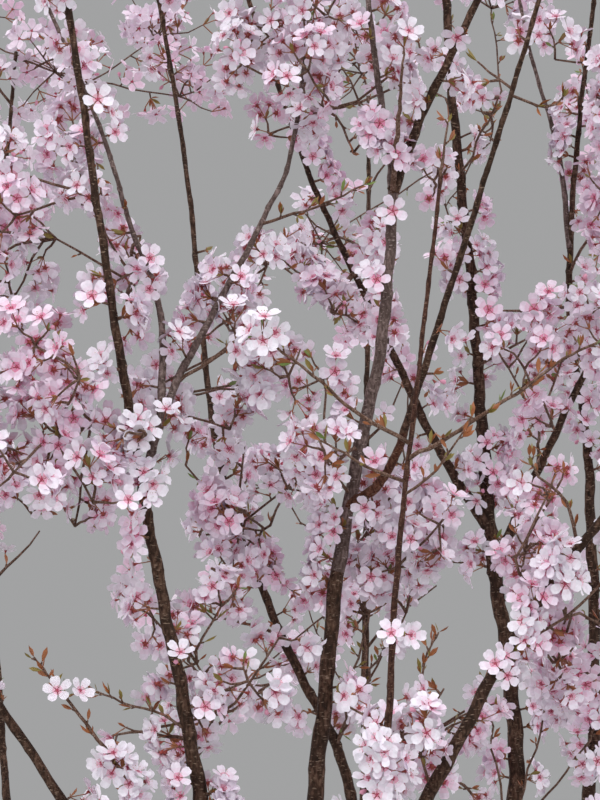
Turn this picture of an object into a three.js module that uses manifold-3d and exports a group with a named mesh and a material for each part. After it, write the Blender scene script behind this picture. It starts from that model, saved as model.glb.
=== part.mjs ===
// A young cherry tree in full blossom: a slim trunk on a flared foot, upright boughs that fork from it, and
// masses of blossom on seeded twigs. Millimetres, +Z up, +Y to the back.
// The origin is the middle of the flat cut under the trunk, at ground level.
import * as THREE from "three";
import { mergeVertices } from "three/addons/utils/BufferGeometryUtils.js";
import Module from "manifold-3d";

const wasm = await Module();
wasm.setup();

// Driving sizes.
const clearGap = 0.3; // between two pieces that meet
const overlapDepth = 6; // how far a stem starts inside the tip of its bough, before it is cut back
const fullTurn = 2 * Math.PI;
const weldDistance = 1e-3; // corners closer than this are one corner
const halvings = 40; // of a route, to find the place at a height

// Trunk: the route of its middle, its diameters, and the flare of its roots at the ground.
const trunkRoute = [
  [0, 0, 0],
  [14, -8, 380],
  [-8, 8, 790],
  [-16, 2, 1180],
];
const trunkDiameter = 84;
const trunkTopDiameter = 32;
const taperPower = 1.3; // above 1, the trunk keeps its width for longer
const flareShare = 0.62; // how much wider the trunk is at the ground, as a share of its radius
const flareHeight = 75; // over which the flare dies away
const rootRidges = 5;
const ridgeDepth = 0.16; // of the radius, at the ground
const groundHeight = 25; // below this the trunk's foot is drawn down to the ground and ends flat
const trunkSides = 15;
const trunkSteps = 8;

// Boughs.
const limbSides = 6;
const limbStep = 190; // length of one straight stretch of a limb
const limbTaperPower = 1.6; // above 1, a limb thins quickly near its foot and slowly further out
const collarShare = 0.2; // how much a limb swells where it leaves its parent
const collarLength = 45;
const obstacleLength = 60; // of one straight stretch of a limb that blossom keeps clear of

// Twigs and sprays. A spray stands for a cluster of umbels, so it is larger than a single flower.
const stemRadius = 4;
const twigRadius = 3;
const twigTipRadius = 2.2;
const twigSides = 3;
const sizeSpread = 0.15; // how far a spray's radius is from its mass's usual one, as a share
const leastReach = 0.84; // of that radius, along each of a spray's axes
const candidatesPerSpray = 30;
const sprayGap = 0.62; // least distance between two sprays, as a share of their radii together
const shownSpacing = 20; // of the places along a limb that no blossom hides
const ownLimbShare = 0.45; // of a spray's radius, kept off the limb that the mass grows from
const gapMargin = 0.3; // of a spray's radius, kept out of the sky gaps
const hideMargin = 0.5; // of a spray's radius, kept off the line of a bough behind it
const turnPenalty = 0.9; // how much a twig that doubles back is put off
const crossingPenalty = 0.6; // how much a twig through another spray is put off
const crossingReach = 0.7; // of that spray's radius
const placesPerTwig = 5; // along a twig, where its clearance is read
const sprayClearance = 2; // beyond the gap, between a spray or twig and what it mustn't touch

// The crown is open to the front. Seen from the viewpoint, sky shows through it in these places, given on the
// upright plane through the trunk.
const viewpoint = new THREE.Vector3(-30, -2600, 1540);
const skyGaps = [
  { right: -155, up: 2150, halfWidth: 75, halfHeight: 45 },
  { right: 195, up: 2095, halfWidth: 42, halfHeight: 78 },
  { right: 85, up: 2050, halfWidth: 14, halfHeight: 90 },
  { right: 125, up: 1680, halfWidth: 36, halfHeight: 60 },
  { right: -290, up: 1680, halfWidth: 75, halfHeight: 62 },
  { right: -300, up: 1550, halfWidth: 65, halfHeight: 60 },
  { right: -165, up: 1760, halfWidth: 18, halfHeight: 55 },
  { right: -75, up: 1535, halfWidth: 42, halfHeight: 32 },
  { right: -125, up: 1940, halfWidth: 20, halfHeight: 18 },
  { right: -70, up: 2120, halfWidth: 24, halfHeight: 34 },
  { right: 260, up: 1895, halfWidth: 14, halfHeight: 34 },
  { right: -40, up: 1770, halfWidth: 13, halfHeight: 30 },
];

// Each limb leaves its parent at a height, passes through its places and ends at the last of them. Between
// the heights under shown it is seen from the front, with no blossom before it.
const limbPlan = [
  {
    name: "centre_bough", from: "trunk", height: 1150, foot: 24, tip: 10.5,
    shown: [[1500, 1813], [1859, 2127]],
    places: [[-22, 0, 1330], [-15, 0, 1505], [12, -12, 1760], [52, -38, 1965], [65, -50, 2140]],
  },
  {
    name: "left_bough", from: "trunk", height: 880, foot: 22, tip: 5,
    shown: [[1500, 1767], [1866, 2080]],
    places: [
      [-78, -62, 1130], [-125, -110, 1510], [-168, -150, 1740],
      [-205, -195, 1960], [-255, -245, 2300], [-330, -320, 2820],
    ],
  },
  {
    name: "right_bough", from: "trunk", height: 830, foot: 28, tip: 8,
    shown: [[1500, 1676], [1948, 2073], [2174, 2269]],
    places: [
      [105, 150, 1080], [206, 298, 1490], [182, 305, 1810],
      [165, 292, 2060], [135, 250, 2400], [130, 230, 2900],
    ],
  },
  {
    name: "far_right_bough", from: "trunk", height: 750, foot: 26, tip: 3.5,
    shown: [[1680, 1880], [2092, 2430]],
    places: [
      [165, 180, 1000], [288, 330, 1470], [300, 350, 1860],
      [280, 345, 2090], [312, 330, 2420], [400, 380, 2880],
    ],
  },
  {
    name: "crossing_bough", from: "trunk", height: 1020, foot: 18, tip: 4.5,
    shown: [[1500, 1640]],
    places: [
      [22, 95, 1260], [25, 180, 1505], [-55, 195, 1690],
      [-122, 235, 1890], [-165, 300, 2250], [-250, 380, 2720],
    ],
  },
  {
    name: "outer_left_bough", from: "left_bough", height: 1060, foot: 15, tip: 5,
    shown: [[1500, 1590]],
    places: [
      [-150, -62, 1240], [-260, -60, 1505], [-440, -95, 1740],
      [-680, -120, 1960], [-930, -150, 2130],
    ],
  },
  {
    name: "leaning_bough", from: "centre_bough", height: 1330, foot: 17.5, tip: 4.5,
    shown: [[1500, 1600]],
    places: [
      [90, -70, 1505], [185, -90, 1675], [320, -125, 1850],
      [470, -180, 2060], [590, -230, 2250],
    ],
  },
  {
    name: "centre_fork", from: "centre_bough", height: 1795, foot: 11, tip: 3.5,
    shown: [[1935, 2330]],
    places: [
      [58, -52, 1830], [95, -150, 1935], [145, -225, 2090],
      [200, -300, 2270], [310, -430, 2640],
    ],
  },
  {
    name: "centre_left_top", from: "centre_bough", height: 2125, foot: 8, tip: 3.5,
    shown: [[2125, 2260]],
    places: [[45, -75, 2240], [28, -100, 2420], [10, -150, 2860]],
  },
  {
    name: "centre_right_top", from: "centre_bough", height: 2110, foot: 11, tip: 5,
    shown: [[2110, 2300]],
    places: [[95, -70, 2190], [148, -112, 2295], [240, -120, 2520], [330, -100, 2800]],
  },
  {
    name: "right_inner_limb", from: "right_bough", height: 1800, foot: 12, tip: 4,
    shown: [[1953, 2001], [2050, 2143]],
    places: [
      [125, 285, 1890], [70, 255, 2000], [10, 220, 2120],
      [-30, 190, 2210], [-110, 160, 2450], [-190, 120, 2750],
    ],
  },
  {
    name: "right_outer_limb", from: "right_bough", height: 1760, foot: 11.5, tip: 4,
    places: [[245, 290, 1885], [320, 268, 2025], [480, 240, 2230], [680, 200, 2440]],
  },
  {
    name: "left_inner_limb", from: "left_bough", height: 1800, foot: 9, tip: 3.5,
    shown: [[1870, 1984], [2058, 2169]],
    places: [
      [-155, -148, 1885], [-110, -105, 1985], [-65, -50, 2085],
      [-35, -10, 2180], [-10, 60, 2450], [0, 130, 2700],
    ],
  },
  {
    name: "left_upper_limb", from: "left_inner_limb", height: 1865, foot: 7.5, tip: 3.5,
    places: [[-165, -130, 1975], [-195, -138, 2060], [-235, -145, 2180], [-370, -120, 2480]],
  },
  {
    name: "front_shoot", from: "centre_bough", height: 1300, foot: 11, tip: 3.5,
    shown: [[1563, 2076]],
    places: [[28, -140, 1410], [48, -225, 1560], [58, -258, 1720], [78, -280, 1900], [98, -292, 2070]],
  },
  {
    name: "bare_limb", from: "far_right_bough", height: 2130, foot: 7, tip: 3.5,
    places: [[268, 342, 2250], [240, 350, 2360], [215, 380, 2520]],
  },
  {
    name: "rear_left_bough", from: "trunk", height: 640, foot: 24, tip: 5,
    places: [[-130, 115, 830], [-300, 270, 1200], [-450, 410, 1660], [-610, 530, 2180]],
  },
  {
    name: "rear_left_limb", from: "rear_left_bough", height: 1230, foot: 12, tip: 4.5,
    places: [[-370, 400, 1560], [-410, 560, 2000], [-400, 690, 2460]],
  },
  {
    name: "rear_bough", from: "trunk", height: 800, foot: 24, tip: 5,
    places: [[18, 150, 990], [40, 340, 1370], [50, 530, 1850], [60, 690, 2400]],
  },
  {
    name: "rear_right_bough", from: "trunk", height: 690, foot: 24, tip: 5,
    places: [[140, 100, 880], [330, 225, 1230], [510, 380, 1670], [700, 530, 2150]],
  },
  {
    name: "rear_right_limb", from: "rear_right_bough", height: 1230, foot: 12, tip: 4.5,
    places: [[370, 370, 1560], [430, 540, 1990], [480, 670, 2420]],
  },
  {
    name: "front_left_bough", from: "left_bough", height: 1040, foot: 16, tip: 5,
    places: [[-140, -165, 1220], [-300, -320, 1470], [-450, -450, 1770], [-600, -570, 2090]],
  },
  {
    name: "front_right_bough", from: "trunk", height: 920, foot: 22, tip: 5,
    places: [[115, -70, 1070], [300, -195, 1350], [490, -320, 1700], [700, -430, 2080]],
  },
];

// Each mass of blossom grows from a limb, at a height or from its tip, and fills a space of its own.
const massPlan = [
  {
    name: "left_outer_blossom", from: "left_bough", height: 1840,
    centre: [-265, -180, 1835], radii: [120, 100, 108], spray: 50, sprays: 19,
  },
  {
    name: "left_upper_blossom", from: "left_upper_limb", height: 2040,
    centre: [-265, -100, 2050], radii: [115, 110, 95], spray: 48, sprays: 17,
  },
  {
    name: "left_inner_blossom", from: "left_inner_limb", height: 1900,
    centre: [-115, -60, 1970], radii: [85, 100, 115], spray: 46, sprays: 17,
  },
  {
    name: "centre_left_blossom", from: "crossing_bough", height: 1740,
    centre: [-95, 60, 1810], radii: [75, 110, 105], spray: 47, sprays: 17,
  },
  {
    name: "low_left_blossom", from: "left_bough", height: 1560,
    centre: [-125, -30, 1620], radii: [130, 110, 85], spray: 46, sprays: 17,
  },
  {
    name: "centre_blossom", from: "centre_bough", height: 1850,
    centre: [-10, -70, 1910], radii: [50, 100, 100], spray: 42, sprays: 14,
  },
  {
    name: "centre_low_blossom", from: "crossing_bough", height: 1560,
    centre: [75, 60, 1740], radii: [65, 105, 110], spray: 46, sprays: 15,
  },
  {
    name: "upper_blossom", from: "left_inner_limb", height: 2210,
    centre: [10, 20, 2240], radii: [110, 110, 80], spray: 48, sprays: 16,
  },
  {
    name: "inner_upper_blossom", from: "right_inner_limb", height: 2080,
    centre: [10, 120, 2080], radii: [75, 90, 100], spray: 46, sprays: 16,
  },
  {
    name: "right_upper_blossom", from: "right_bough", height: 2200,
    centre: [165, 110, 2190], radii: [70, 110, 110], spray: 46, sprays: 14,
  },
  {
    name: "far_right_blossom", from: "far_right_bough", height: 2100,
    centre: [285, 210, 2210], radii: [65, 120, 140], spray: 48, sprays: 15,
  },
  {
    name: "right_blossom", from: "right_outer_limb", height: 1870,
    centre: [205, 130, 1955], radii: [110, 100, 90], spray: 48, sprays: 18,
  },
  {
    name: "right_low_blossom", from: "leaning_bough", height: 1640,
    centre: [220, 0, 1735], radii: [95, 100, 120], spray: 48, sprays: 18,
  },
  {
    name: "low_centre_blossom", from: "front_shoot", height: 1420,
    centre: [55, -150, 1575], radii: [90, 90, 80], spray: 44, sprays: 14,
  },
  {
    name: "low_right_blossom", from: "right_bough", height: 1440,
    centre: [195, 90, 1565], radii: [110, 120, 70], spray: 47, sprays: 16,
  },
  {
    name: "top_left_blossom", from: "left_bough",
    centre: [-380, -350, 2830], radii: [230, 210, 250], spray: 105, sprays: 9,
  },
  {
    name: "top_centre_blossom", from: "centre_left_top",
    centre: [-10, -180, 2960], radii: [200, 210, 230], spray: 105, sprays: 8,
  },
  {
    name: "top_right_blossom", from: "centre_right_top",
    centre: [360, -60, 2860], radii: [200, 190, 230], spray: 105, sprays: 8,
  },
  {
    name: "top_front_blossom", from: "centre_fork",
    centre: [250, -520, 2640], radii: [220, 190, 200], spray: 105, sprays: 8,
  },
  {
    name: "top_rear_blossom", from: "right_bough",
    centre: [120, 270, 3010], radii: [210, 200, 230], spray: 105, sprays: 8,
  },
  {
    name: "top_far_right_blossom", from: "far_right_bough",
    centre: [460, 420, 2830], radii: [220, 200, 240], spray: 105, sprays: 8,
  },
  {
    name: "top_rear_left_blossom", from: "crossing_bough",
    centre: [-300, 400, 2820], radii: [220, 210, 230], spray: 105, sprays: 8,
  },
  {
    name: "high_left_blossom", from: "left_upper_limb",
    centre: [-520, -60, 2550], radii: [220, 190, 200], spray: 105, sprays: 8,
  },
  {
    name: "high_inner_blossom", from: "right_inner_limb",
    centre: [-200, 80, 2640], radii: [150, 160, 170], spray: 90, sprays: 5,
  },
  {
    name: "outer_left_blossom", from: "outer_left_bough",
    centre: [-950, -160, 2170], radii: [190, 210, 210], spray: 105, sprays: 8,
  },
  {
    name: "left_low_outer_blossom", from: "outer_left_bough", height: 1800,
    centre: [-590, -80, 1880], radii: [190, 200, 190], spray: 105, sprays: 8,
  },
  {
    name: "outer_right_blossom", from: "leaning_bough",
    centre: [660, -220, 2270], radii: [230, 190, 220], spray: 105, sprays: 8,
  },
  {
    name: "right_outer_blossom", from: "right_outer_limb",
    centre: [760, 200, 2500], radii: [220, 210, 230], spray: 105, sprays: 9,
  },
  {
    name: "front_left_blossom", from: "front_left_bough",
    centre: [-650, -560, 2100], radii: [220, 210, 240], spray: 105, sprays: 9,
  },
  {
    name: "front_right_blossom", from: "front_right_bough",
    centre: [730, -540, 2060], radii: [210, 190, 240], spray: 105, sprays: 9,
  },
  {
    name: "rear_left_blossom", from: "rear_left_bough",
    centre: [-700, 540, 2230], radii: [230, 220, 250], spray: 105, sprays: 9,
  },
  {
    name: "rear_left_top_blossom", from: "rear_left_limb",
    centre: [-380, 760, 2450], radii: [220, 190, 240], spray: 105, sprays: 8,
  },
  {
    name: "rear_blossom", from: "rear_bough",
    centre: [60, 760, 2380], radii: [210, 190, 280], spray: 105, sprays: 9,
  },
  {
    name: "rear_right_blossom", from: "rear_right_bough",
    centre: [770, 560, 2150], radii: [230, 220, 250], spray: 105, sprays: 9,
  },
  {
    name: "rear_right_top_blossom", from: "rear_right_limb",
    centre: [470, 740, 2420], radii: [210, 190, 230], spray: 105, sprays: 8,
  },
  {
    name: "rear_low_blossom", from: "rear_bough", height: 1500,
    centre: [0, 520, 1800], radii: [300, 170, 230], spray: 92, sprays: 9,
  },
];

const bark = new THREE.MeshStandardMaterial({ color: 0x6b5348, roughness: 0.85, metalness: 0 });
const blossom = new THREE.MeshStandardMaterial({ color: 0xf3dbe4, roughness: 0.7, metalness: 0 });

// A run of numbers from 0 to 1 that is the same each time for the same seed.
function seededDraws(seed) {
  const warmUp = 8;
  let state = seed >>> 0;
  const draw = () => {
    state = (Math.imul(state, 1664525) + 1013904223) >>> 0;
    return state / 4294967296;
  };
  for (let i = 0; i < warmUp; i++) draw();
  return draw;
}

const toVector = (place) => new THREE.Vector3(...place);

function routeThrough(points) {
  return new THREE.CatmullRomCurve3(points, false, "catmullrom", 0.5);
}

// The share of a rising route at which it reaches a height.
function shareAtHeight(route, height) {
  let low = 0;
  let high = 1;
  for (let i = 0; i < halvings; i++) {
    const middle = (low + high) / 2;
    if (route.getPoint(middle).z < height) low = middle;
    else high = middle;
  }
  return (low + high) / 2;
}

// A closed geometry as a solid that can be joined and cut.
function solidFrom(geometry) {
  const bare = geometry.index ? geometry.toNonIndexed() : geometry.clone();
  bare.deleteAttribute("normal");
  bare.deleteAttribute("uv");
  const merged = mergeVertices(bare, weldDistance);
  return new wasm.Manifold(
    new wasm.Mesh({
      numProp: 3,
      vertProperties: new Float32Array(merged.attributes.position.array),
      triVerts: new Uint32Array(merged.index.array),
    }),
  );
}

function meshFrom(solid, name, material) {
  const cut = solid.getMesh();
  const geometry = new THREE.BufferGeometry();
  geometry.setAttribute("position", new THREE.BufferAttribute(new Float32Array(cut.vertProperties), 3));
  geometry.setIndex(new THREE.BufferAttribute(new Uint32Array(cut.triVerts), 1));
  geometry.computeVertexNormals();
  const mesh = new THREE.Mesh(geometry, material);
  mesh.name = name;
  return mesh;
}

// The largest body of a solid, without the loose scraps that a cut can leave.
function largestBody(solid) {
  const bodies = solid.decompose();
  return bodies.reduce((a, b) => (a.volume() > b.volume() ? a : b));
}

// A tube along a route, made by bending a closed cylinder. radiusAt takes the share along it and the turn.
function tubeAlong(route, sides, steps, radiusAt) {
  const geometry = new THREE.CylinderGeometry(1, 1, 1, sides, steps);
  const position = geometry.attributes.position;
  const back = new THREE.Vector3(0, 1, 0);
  for (let i = 0; i < position.count; i++) {
    const share = Math.min(Math.max(position.getY(i) + 0.5, 0), 1);
    const middle = route.getPoint(share);
    const along = route.getTangent(share);
    const side = back.clone().cross(along).normalize();
    const across = along.clone().cross(side);
    const turn = Math.atan2(position.getX(i), position.getZ(i));
    const reach = Math.hypot(position.getX(i), position.getZ(i)) * radiusAt(share, turn);
    middle.addScaledVector(side, Math.cos(turn) * reach).addScaledVector(across, Math.sin(turn) * reach);
    position.setXYZ(i, middle.x, middle.y, middle.z);
  }
  return geometry;
}

// Trunk.
function trunkRadius(share, turn) {
  const height = share * trunkRoute[trunkRoute.length - 1][2];
  const plain = THREE.MathUtils.lerp(trunkDiameter, trunkTopDiameter, share ** taperPower) / 2;
  const fade = Math.exp(-height / flareHeight);
  return plain * (1 + fade * (flareShare + ridgeDepth * Math.cos(rootRidges * turn)));
}

function makeTrunk(extra) {
  const route = routeThrough(trunkRoute.map(toVector));
  const radiusAt = (share, turn) => trunkRadius(share, turn) + extra;
  const geometry = tubeAlong(route, trunkSides, trunkSteps, radiusAt);
  const position = geometry.attributes.position;
  for (let i = 0; i < position.count; i++) {
    if (position.getZ(i) < groundHeight) position.setZ(i, 0);
  }
  return solidFrom(geometry);
}

// Limbs.
function limbRadius(limb, share) {
  const plain = THREE.MathUtils.lerp(limb.tip, limb.foot, (1 - share) ** limbTaperPower) / 2;
  const fromParent = Math.max(share * limb.length - limb.parentRadius, 0);
  return plain * (1 + collarShare * Math.exp(-fromParent / collarLength));
}

function layOutLimb(plan, parents) {
  const parent = parents.get(plan.from);
  const share = shareAtHeight(parent.route, plan.height);
  const route = routeThrough([parent.route.getPoint(share), ...plan.places.map(toVector)]);
  return { ...plan, route, length: route.getLength(), parentRadius: parent.radiusAt(share) };
}

function makeLimb(limb, extra) {
  const steps = Math.round(limb.length / limbStep);
  return solidFrom(tubeAlong(limb.route, limbSides, steps, (share) => limb.radiusAt(share) + extra));
}

// What a twig or spray has to keep clear of: straight pieces with a radius and an owner.
const obstacles = [];

function addObstacle(owner, from, to, radius) {
  obstacles.push({ owner, from, run: to.clone().sub(from), radius });
}

function distanceTo(obstacle, point) {
  const toPoint = point.clone().sub(obstacle.from);
  const share = THREE.MathUtils.clamp(toPoint.dot(obstacle.run) / obstacle.run.lengthSq(), 0, 1);
  return toPoint.addScaledVector(obstacle.run, -share).length() - obstacle.radius;
}

function isClear(point, reach, owners) {
  const least = reach + clearGap + sprayClearance;
  const isFree = (obstacle) => owners.includes(obstacle.owner) || distanceTo(obstacle, point) > least;
  return obstacles.every(isFree);
}

function isTwigClear(from, to, radius, owners) {
  for (let i = 1; i <= placesPerTwig; i++) {
    const place = from.clone().lerp(to, i / placesPerTwig);
    if (!isClear(place, radius, owners)) return false;
  }
  return true;
}

// Where a point falls on the upright plane through the trunk, seen from the viewpoint, and its scale there.
function seenFromFront(point) {
  const scale = viewpoint.y / (viewpoint.y - point.y);
  return {
    right: viewpoint.x + (point.x - viewpoint.x) * scale,
    up: viewpoint.z + (point.z - viewpoint.z) * scale,
    scale,
  };
}

function isInSkyGap(point, reach) {
  const seen = seenFromFront(point);
  return skyGaps.some((gap) => {
    const across = (seen.right - gap.right) / (gap.halfWidth + reach * seen.scale);
    const upward = (seen.up - gap.up) / (gap.halfHeight + reach * seen.scale);
    return across * across + upward * upward < 1;
  });
}

// Places along the limbs that show from the front: where they are seen and how far back they are.
const shownPlaces = [];

function noteShownPlaces(limb) {
  for (const [low, high] of limb.shown ?? []) {
    const count = Math.ceil((high - low) / shownSpacing);
    for (let i = 0; i <= count; i++) {
      const height = low + ((high - low) * i) / count;
      const point = limb.route.getPoint(shareAtHeight(limb.route, height));
      shownPlaces.push({ ...seenFromFront(point), back: point.y });
    }
  }
}

function hidesLimb(point, reach) {
  const seen = seenFromFront(point);
  return shownPlaces.some(
    (place) =>
      point.y < place.back && Math.hypot(seen.right - place.right, seen.up - place.up) < reach * seen.scale,
  );
}

// Masses of blossom.

function drawSpray(mass, draw) {
  const polar = 2 * draw() - 1;
  const turn = fullTurn * draw();
  const out = Math.cbrt(draw());
  const flat = Math.sqrt(1 - polar * polar);
  const offset = new THREE.Vector3(flat * Math.cos(turn), flat * Math.sin(turn), polar).multiplyScalar(out);
  const place = offset.multiply(toVector(mass.radii)).add(toVector(mass.centre));
  const size = mass.spray * (1 + sizeSpread * (2 * draw() - 1));
  return { place, size };
}

function isSprayFree(spray, mass) {
  return (
    !isInSkyGap(spray.place, gapMargin * spray.size) &&
    !hidesLimb(spray.place, hideMargin * spray.size) &&
    isClear(spray.place, spray.size, [mass.name, mass.from]) &&
    isClear(spray.place, ownLimbShare * spray.size, [mass.name])
  );
}

// Spreads the sprays evenly through the mass: each takes the drawn place that is furthest from the others.
function spreadSprays(mass, draw) {
  const sprays = [];
  for (let i = 0; i < mass.sprays; i++) {
    let best = null;
    let bestSpread = sprayGap;
    for (let j = 0; j < candidatesPerSpray; j++) {
      const spray = drawSpray(mass, draw);
      const gaps = sprays.map((other) => other.place.distanceTo(spray.place) / (other.size + spray.size));
      const spread = Math.min(...gaps);
      if (spread > bestSpread && isSprayFree(spray, mass)) {
        best = spray;
        bestSpread = spread;
      }
    }
    if (best) sprays.push(best);
  }
  return sprays;
}

function crossesSpray(from, to, sprays, source) {
  const twig = { from, run: to.clone().sub(from), radius: twigRadius };
  const isCrossed = (spray) => distanceTo(twig, spray.place) < crossingReach * spray.size;
  return sprays.some((spray) => spray !== source && isCrossed(spray));
}

// Grows a stem from the limb to the nearest spray, then joins each further spray to the best one before it.
function growMass(plan, seed, limbs) {
  const draw = seededDraws(seed);
  const limb = limbs.get(plan.from);
  const share = plan.height === undefined ? 1 : shareAtHeight(limb.route, plan.height);
  const foot = limb.route.getPoint(share);
  if (share === 1) foot.addScaledVector(limb.route.getTangent(1), -overlapDepth);
  const owners = [plan.name, plan.from];
  const sprays = spreadSprays(plan, draw).sort((a, b) => a.place.distanceTo(foot) - b.place.distanceTo(foot));
  const nodes = [{ place: foot, along: toVector(plan.centre).sub(foot).normalize() }];
  const twigs = [];
  const grown = [];
  for (const spray of sprays) {
    let best = null;
    let bestCost = Infinity;
    for (const node of nodes) {
      const run = spray.place.clone().sub(node.place);
      let cost = run.length() * (1 + turnPenalty * (1 - run.dot(node.along) / run.length()));
      if (crossesSpray(node.place, spray.place, grown, node)) cost *= 1 + crossingPenalty;
      if (cost < bestCost && isTwigClear(node.place, spray.place, twigRadius, owners)) {
        best = node;
        bestCost = cost;
      }
    }
    if (!best) continue;
    const isStem = best.place === foot;
    const start = isStem ? stemRadius : twigRadius;
    twigs.push({ from: best.place, to: spray.place, start, end: isStem ? twigRadius : twigTipRadius });
    if (isStem) nodes.shift();
    spray.along = spray.place.clone().sub(best.place).normalize();
    nodes.push(spray);
    grown.push(spray);
  }
  for (const twig of twigs) addObstacle(plan.name, twig.from, twig.to, twig.start);
  for (const spray of grown) {
    addObstacle(plan.name, spray.place, spray.place.clone().add(spray.along), spray.size);
  }
  return { ...plan, twigs, sprays: grown, draw };
}

// A straight tapering twig of three sides.
function makeTwig(twig) {
  const run = twig.to.clone().sub(twig.from);
  const geometry = new THREE.CylinderGeometry(twig.end, twig.start, run.length(), twigSides, 1);
  const turn = new THREE.Quaternion().setFromUnitVectors(new THREE.Vector3(0, 1, 0), run.clone().normalize());
  geometry.applyQuaternion(turn);
  const middle = twig.from.clone().lerp(twig.to, 0.5);
  return solidFrom(geometry.translate(middle.x, middle.y, middle.z));
}

// A spray is an eight-sided lump that stands with one face square to its twig.
function makeSpray(spray, draw) {
  const geometry = new THREE.OctahedronGeometry(1);
  const up = new THREE.Vector3(0, 1, 0);
  const middleOfFace = new THREE.Vector3(1, 1, 1).normalize();
  geometry.applyQuaternion(new THREE.Quaternion().setFromUnitVectors(middleOfFace, up));
  geometry.rotateY(fullTurn * draw());
  geometry.scale(...[0, 0, 0].map(() => spray.size * THREE.MathUtils.lerp(leastReach, 1, draw())));
  geometry.applyQuaternion(new THREE.Quaternion().setFromUnitVectors(up, spray.along));
  return solidFrom(geometry.translate(spray.place.x, spray.place.y, spray.place.z));
}

function makeMass(mass, limb) {
  const pieces = [...mass.twigs.map(makeTwig), ...mass.sprays.map((spray) => makeSpray(spray, mass.draw))];
  return largestBody(wasm.Manifold.union(pieces).subtract(makeLimb(limb, clearGap)));
}

const tree = new THREE.Group();
const limbs = new Map();

const trunkLine = routeThrough(trunkRoute.map(toVector));
limbs.set("trunk", { name: "trunk", route: trunkLine, radiusAt: (share) => trunkRadius(share, 0) });
tree.add(meshFrom(makeTrunk(0), "trunk", bark));

const fatSolids = [makeTrunk(clearGap)];
for (const plan of limbPlan) {
  const limb = layOutLimb(plan, limbs);
  limb.radiusAt = (share) => limbRadius(limb, share);
  limbs.set(limb.name, limb);
  noteShownPlaces(limb);
  const pieces = Math.ceil(limb.length / obstacleLength);
  for (let i = 0; i < pieces; i++) {
    const from = limb.route.getPoint(i / pieces);
    addObstacle(limb.name, from, limb.route.getPoint((i + 1) / pieces), limb.radiusAt(i / pieces));
  }
  const cut = fatSolids.reduce((solid, earlier) => solid.subtract(earlier), makeLimb(limb, 0));
  tree.add(meshFrom(largestBody(cut), limb.name, bark));
  fatSolids.push(makeLimb(limb, clearGap));
}

massPlan.forEach((plan, i) => {
  const mass = growMass(plan, i + 1, limbs);
  tree.add(meshFrom(makeMass(mass, limbs.get(plan.from)), plan.name, blossom));
});

export default tree;
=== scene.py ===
"""A young cherry tree in full blossom.

Bark with relief covers the trunk and boughs, and twigs grow on from them with flowers, buds and young leaves.
The growing rule works in millimetres, and meshes are written in metres.
"""

import math
from collections import namedtuple
from itertools import product

import bpy
import numpy as np
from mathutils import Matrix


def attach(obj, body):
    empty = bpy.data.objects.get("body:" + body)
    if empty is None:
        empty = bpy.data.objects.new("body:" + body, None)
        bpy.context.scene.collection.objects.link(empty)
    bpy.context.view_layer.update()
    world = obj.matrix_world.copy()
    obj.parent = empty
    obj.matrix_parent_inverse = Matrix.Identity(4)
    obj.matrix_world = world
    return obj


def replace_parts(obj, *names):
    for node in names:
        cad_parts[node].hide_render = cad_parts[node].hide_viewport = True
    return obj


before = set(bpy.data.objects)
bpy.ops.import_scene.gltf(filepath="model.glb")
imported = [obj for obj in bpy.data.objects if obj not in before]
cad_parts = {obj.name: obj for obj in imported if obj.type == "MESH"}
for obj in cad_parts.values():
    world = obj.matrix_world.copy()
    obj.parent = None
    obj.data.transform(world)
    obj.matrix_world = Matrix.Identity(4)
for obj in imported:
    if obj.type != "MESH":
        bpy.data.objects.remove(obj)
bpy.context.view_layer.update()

MM = 0.001
FULL_TURN = 2 * math.pi
GOLDEN_TURN = FULL_TURN * 0.381966
RIGHT = np.array([1.0, 0.0, 0.0])
BACK = np.array([0.0, 1.0, 0.0])
UP = np.array([0.0, 0.0, 1.0])

# Camera: the photo's viewpoint, in front of the crown and looking slightly up.
VIEWPOINT = np.array([-30.0, -2600.0, 1540.0])
CAMERA_PITCH = math.radians(8)
PHOTO_WIDTH = 600
PHOTO_HEIGHT = 800
PHOTO_FOCAL = 2600.0  # in the photo's pixels
SENSOR = 36.0
NEAR_MARGIN = 60  # pixels outside the photo's frame that still get the finer flowers

# The growing rule's sizes, as in the part's source.
STEM_RADIUS = 4.0
TWIG_RADIUS = 3.0
TWIG_TIP_RADIUS = 2.2
OVERLAP_DEPTH = 6.0
CLEAR_GAP = 0.3
SPRAY_CLEARANCE = 2.0
CANDIDATES = 30
SPRAY_GAP = 0.62
CROSSING_PENALTY = 0.6
CROSSING_REACH = 0.7
TURN_PENALTY = 0.9
PLACES_PER_TWIG = 5
OWN_LIMB_SHARE = 0.45
GAP_MARGIN = 0.3
HIDE_MARGIN = 0.5
SHOWN_SPACING = 20.0
COLLAR_SHARE = 0.2
COLLAR_LENGTH = 45.0
TAPER_POWER = 1.3
LIMB_TAPER_POWER = 1.6
OBSTACLE_LENGTH = 60.0
SIZE_SPREAD = 0.15
DRAW_FACTOR = 1664525
DRAW_STEP = 1013904223
DRAW_RANGE = 4294967296
SKIPPED_DRAWS = 8

TRUNK_ROUTE = [(0, 0, 0), (14, -8, 380), (-8, 8, 790), (-16, 2, 1180)]
TRUNK_DIAMETER = 84.0
TRUNK_TOP_DIAMETER = 32.0
FLARE_SHARE = 0.62
FLARE_HEIGHT = 75.0
ROOT_RIDGES = 5
RIDGE_DEPTH = 0.16

# Sky shows here: place across and up on the upright plane through the trunk, and half sizes.
SKY_GAPS = np.array([
    (-155, 2150, 75, 45), (195, 2095, 42, 78), (85, 2050, 14, 90), (125, 1680, 36, 60), (-290, 1680, 75, 62),
    (-300, 1550, 65, 60), (-165, 1760, 18, 55), (-75, 1535, 42, 32), (-125, 1940, 20, 18),
    (-70, 2120, 24, 34), (260, 1895, 14, 34), (-40, 1770, 13, 30),
])

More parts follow.
